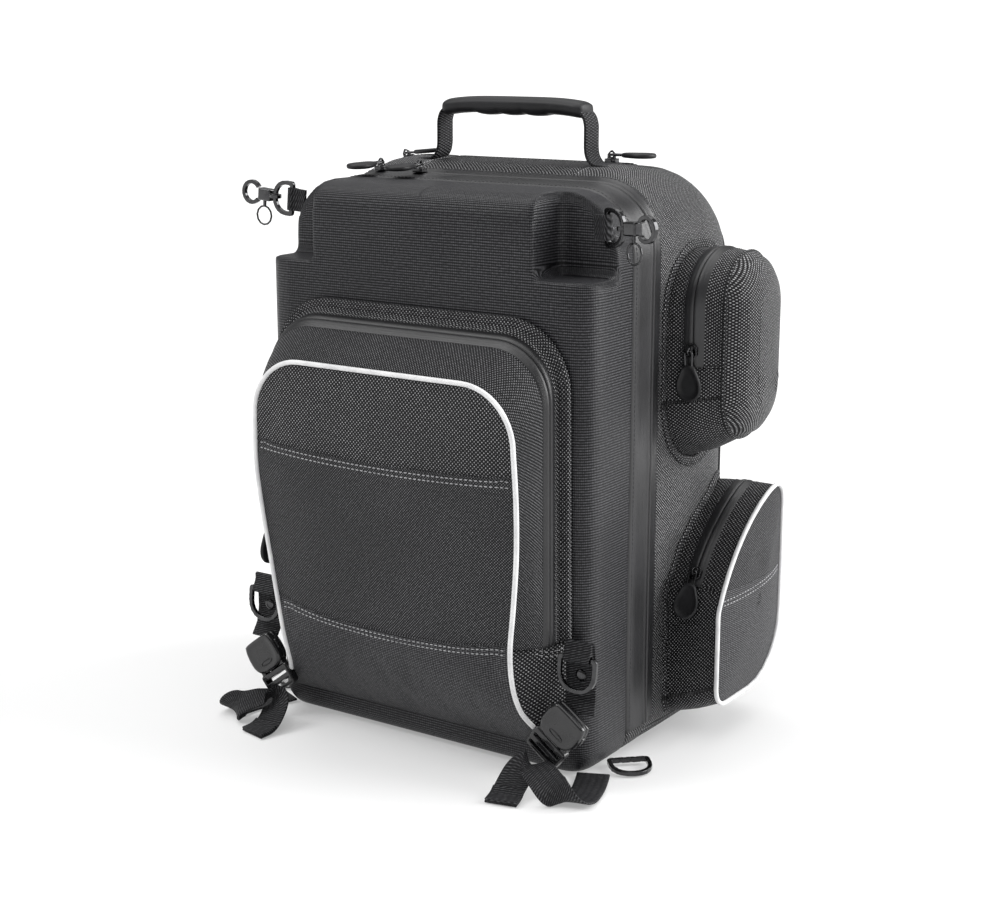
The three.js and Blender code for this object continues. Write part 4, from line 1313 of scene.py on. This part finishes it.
# ---------- handle ----------
HANDLE_Y = anchor("handle_fold")[1]
FOLD_Z = anchor("handle_fold")[2]
half_legs = [(90, 440.2), (82, 440.9), (75, 442.2), (70.6, 446.5), (68.8, 453), (68.6, 463), (68.2, 473),
             (64.5, 480), (56, 484), (40, 485), (20, 485.4), (0, 485.5)]
leg_curve = smooth([*half_legs, *[(-x, z) for x, z in half_legs[-2::-1]]])
strap_line = resample(lifted(leg_curve, HANDLE_Y), 220)
strap_out = lifted(outward_normals(strap_line[:, [0, 2]], closed=False), 0)
handle_strap = sweep("handle_strap", strap_line, tape_section(20, 2.4), strap_out)
place(handle_strap, ("bag_body", "handle", (0, HANDLE_Y, FOLD_Z - 8), (0, HANDLE_Y, FOLD_Z + 8)),
      ribbed_webbing, "webbing", ["handle_webbing"])
for side, sign in SIDES:
    for k, x in enumerate((80, 84.5, 89)):
        spots = [(sign * x, HANDLE_Y + y, 442.3 - 0.12 * (x - 80)) for y in np.linspace(-9, 9, 12)]
        sew(f"handle_tack_{side}_{k}", "bag_body", spots, (0, 0, 1), pitch=1.9, stitch=1.6, thick=0.4)

# The grip: half its length, the length of one finger scallop, and half its width and height.
GRIP_HALF, GRIP_WAVE, GRIP_WIDE, GRIP_HIGH = 65.5, 22, 11.6, 6.4
grip_rings = []
for x in np.linspace(-GRIP_HALF, GRIP_HALF, 90):
    t = abs(x) / GRIP_HALF
    middle = 485.2 - 3.4 * t ** 4
    taper = 1 - 0.2 * max(0, (t - 0.9) / 0.1) ** 2 - (0.2 if t > 0.995 else 0)
    scallop = 1.8 * math.sqrt(abs(math.cos(math.pi * x / GRIP_WAVE))) * (abs(x) < 1.5 * GRIP_WAVE)
    ring = []
    for a in np.linspace(0, 2 * math.pi, 36, endpoint=False):
        c, s = math.cos(a), math.sin(a)
        y = GRIP_WIDE * taper * math.copysign(abs(c) ** 0.75, c)
        z = (GRIP_HIGH * taper + (scallop if s < 0 else 0)) * math.copysign(abs(s) ** 0.8, s)
        ring.append((x, HANDLE_Y + y, middle + z))
    grip_rings.append(ring)
grip = skin("handle_grip_cover", grip_rings, ends=(True, True))
place(grip, "handle", rubber, "soft_rubber", ["handle_grip"])

# ---------- zipper pulls and sliders ----------
STEMS = ["main_zip_left", "main_zip_right", "rear_zip_left", "rear_zip_right", "front_pocket",
         "upper_pocket_right", "upper_pocket_left", "lower_pocket_right", "lower_pocket_left"]
# Sections of a pull's pad from its back to its dished front: (share of the outline, rise).
PAD_RINGS = [(0.06, -1.7), (0.5, -1.7), (0.86, -1.75), (0.96, -1.4), (1.0, -0.5), (1.0, 0.5), (0.96, 1.5),
             (0.90, 1.85), (0.84, 1.7), (0.78, 1.05), (0.5, 0.9), (0.06, 0.9)]


LINK_LOOP = [(13, 2.6), (8, 2.8), (3, 3.0), (0.4, 2.4), (-0.5, 0), (0.4, -2.4), (3, -3.0), (8, -2.8),
             (13, -2.6)]


def loft(name, origin, ways, outline, middle, sections):
    """A solid through an (along, across) outline: sections are (size, rise), sized about its middle."""
    along, across, up = ways
    centre = np.array((middle, 0.0))
    rings = [[origin + along * a + across * b + up * rise for a, b in centre + (outline - centre) * size]
             for size, rise in sections]
    return skin(name, rings, ends=(True, True))


def teardrop(count=48):
    """The pad's outline: (along, across) from the hinge."""
    rough = [(10.5, -3.6), (10.5, 3.6), (16, 7.0), (24, 10.0), (31, 9.7), (36, 6.0), (38, 0), (36, -6.0),
             (31, -9.7), (24, -10.0), (16, -7.0)]
    return resample(smooth(rough, 6, closed=True), count, closed=True)


def cast(name, body, material, slot, voxel=0.4, times=2, lay=None):
    """A smooth copy of a small CAD part; lay gives two directions for its weave."""
    obj = copy_of(frame["nodes"][name], name + "_shape")
    obj.parent = None
    relax(remesh(obj, voxel), times)
    if lay is not None:
        points = coordinates(obj)
        set_weave(obj, np.stack([points @ np.array(lay[0], float), points @ np.array(lay[1], float)], 1))
    return place(obj, body, material, slot, [name])


for stem in STEMS:
    hinge, axis = anchor(stem + "_swing"), np.array(joints[stem + "_swing"]["axis"], float)
    toward = vertices(stem + "_pull").mean(0) - hinge
    toward -= axis * (toward @ axis)
    toward /= np.linalg.norm(toward)
    facing = np.cross(toward, axis)
    slider_middle = vertices(stem + "_slider").mean(0)
    if facing @ (hinge - slider_middle) < 0:
        facing = -facing
    pad = loft(stem + "_pad", hinge, (toward, axis, facing), teardrop(), 25.0, PAD_RINGS)
    place(pad, stem + "_pull", rubber, "soft_rubber", [stem + "_pull"])
    wire = route([hinge + toward * a + axis * b for a, b in LINK_LOOP], 0.6)
    place(sweep(stem + "_link", wire, disc(0.95, 8), facing), stem + "_pull", nickel, "black_nickel")
    cast(stem + "_slider", stem + "_slider", nickel, "black_nickel", 0.35)

# ---------- shackles, rings, buckles and straps ----------
# The socket's outline as (down, across) from its top, and its sections: (share of the outline, rise).
SOCKET_HALF = [(0, 11.5), (2.5, 15), (8, 16.6), (14, 17), (20, 16.4), (25, 13.5), (27.6, 8)]
SOCKET_OUTLINE = [(0, -11.5), *SOCKET_HALF, (28, 0), *[(a, -b) for a, b in SOCKET_HALF[:0:-1]]]
SOCKET_RINGS = [(0.05, -5.4), (0.7, -5.4), (0.92, -5.2), (0.985, -4.2), (1, -2.4), (0.99, -1.3),
                (0.955, -0.9), (0.955, 0.5), (0.99, 0.9), (1, 2.0), (0.99, 3.8), (0.95, 5.0), (0.88, 5.4),
                (0.80, 5.4), (0.74, 5.0), (0.5, 5.1), (0.05, 5.2)]
LATCH_RINGS = ((1, 14.5), (1, 16.9), (0.93, 17.5), (0.75, 17.8))


def buckle_socket(side, sign):
    """The rounded socket with its seam round the edge, and the plug's two latches in its side windows."""
    down, front = np.array((-0.6 * sign, 0, -0.8)), np.array((0, -1.0, 0))
    across_way = np.cross(down, front)
    solid_points = vertices(f"buckle_socket_{side}")
    top = solid_points.mean(0)
    spread = (solid_points - top) @ down
    start = top + down * spread.min()
    start[1] = (solid_points[:, 1].max() + solid_points[:, 1].min()) / 2
    outline = resample(smooth(SOCKET_OUTLINE, 5, closed=True), 72, closed=True)
    ways = (down, across_way, front)
    socket = loft(f"socket_shape_{side}", start, ways, outline, 14.0, SOCKET_RINGS)
    place(socket, "front_shell", plastic, "buckle_plastic", [f"buckle_socket_{side}"])
    oval_rim = [start + down * (20.5 + 1.7 * c) + across_way * 6.5 * s + front * 5.2
                for c, s in disc(1, 40)]
    rim = sweep(f"socket_oval_{side}", oval_rim, disc(0.5, 8), front, closed=True)
    place(rim, "front_shell", plastic, "buckle_plastic")
    latch_block = resample(rounded_box(4.2, 2.6, 1.2, 4, 3), 32, closed=True)
    for k in (-1, 1):
        rings = [[start + down * (12 + a * size) + across_way * k * out + front * (b * size - 0.2)
                  for a, b in latch_block] for size, out in LATCH_RINGS]
        latch = skin(f"plug_latch_{side}_{k + 1}", rings, ends=(True, True))
        place(latch, f"buckle_plug_{side}", plastic, "buckle_plastic")


# Cast metal parts: (CAD node, its body, voxel size).
METAL_PARTS = (("corner_ring", "corner_ring", 0.35), ("shackle_body", "shackle", 0.35),
               ("shackle_jaw", "shackle_jaw", 0.35), ("shackle_plunger", "shackle_plunger", 0.35),
               ("base_ring", "base_ring", 0.4), ("front_ring", "front_ring", 0.4))
# The rivet of a front ring's tab: where it sits, and its domed section (radius, rise).
RIVET_AT, RIVET_RINGS = (148, -118.0, 87), [(4.6, 0), (4.6, 0.5), (3.8, 1.2), (2.2, 1.6), (0.1, 1.7)]
# The strap's route on the right: from under the shell out over the floor, up to the buckle and down again.
STRAP_ROUTE = [(147, -97, 2.2), (151, -106, 1.6), (158, -124, 1.6), (162, -142, 2), (160, -154, 6),
               (150, -158, 13), (136, -152, 19), (124, -146, 21), (117, -150, 17), (115, -160, 8),
               (116, -168, 3), (118, -178, 1.6)]
HEM = 12

for side, sign in SIDES:
    for part, body, voxel in METAL_PARTS:
        cast(f"{part}_{side}", f"{body}_{side}", nickel, "black_nickel", voxel, 4)
    buckle_socket(side, sign)
    rings = [[(sign * RIVET_AT[0] + r * c, RIVET_AT[1] - rise, RIVET_AT[2] + r * s) for c, s in disc(1, 20)]
             for r, rise in RIVET_RINGS]
    place(skin(f"front_rivet_{side}", rings, ends=(True, True)), "front_shell", nickel, "black_nickel")
    cast(f"buckle_plug_{side}", f"buckle_plug_{side}", plastic, "buckle_plastic", 0.4, 2)
    tab_way = (-1, 0, 0.09) if sign < 0 else (0.94, -0.34, 0.05)
    weave_ways = {"corner_tab": (tab_way, (0, 0.2, 0.98)), "front_webbing": ((0, -0.1, -1), (1, 0, 0))}
    for part, ways in weave_ways.items():
        cast(f"{part}_{side}", "front_shell", webbing_cloth, "webbing", 0.5, 2, ways)

    path = route([(sign * x, y, z) for x, y, z in STRAP_ROUTE], 1.5)
    ahead = np.gradient(path, axis=0)
    share = np.linspace(0, 1, len(path))[:, None]
    crosswise = (1 - share) * np.array((sign * 0.9, 0.42, 0)) + share * np.array((sign * 0.99, 0.1, 0))
    up = np.cross(ahead, crosswise) * sign
    strap = sweep(f"strap_{side}_webbing", path, tape_section(25, 1.8), up)
    points = coordinates(strap)
    points[:, 2] = np.maximum(points[:, 2], 0.1)
    move_points(strap, points)
    moving = ("front_shell", f"buckle_plug_{side}", (sign * 160, -130, 2), (sign * 128, -146, 20))
    place(strap, moving, webbing_cloth, "webbing", [f"strap_{side}"])
    lift = unit(up)
    hem_path = (path + lift * np.sign(lift[-1, 2]) * 1.9)[-HEM:]
    hem = sweep(f"strap_{side}_hem", hem_path, tape_section(24.6, 1.7), up[-HEM:])
    place(hem, moving, webbing_cloth, "webbing")
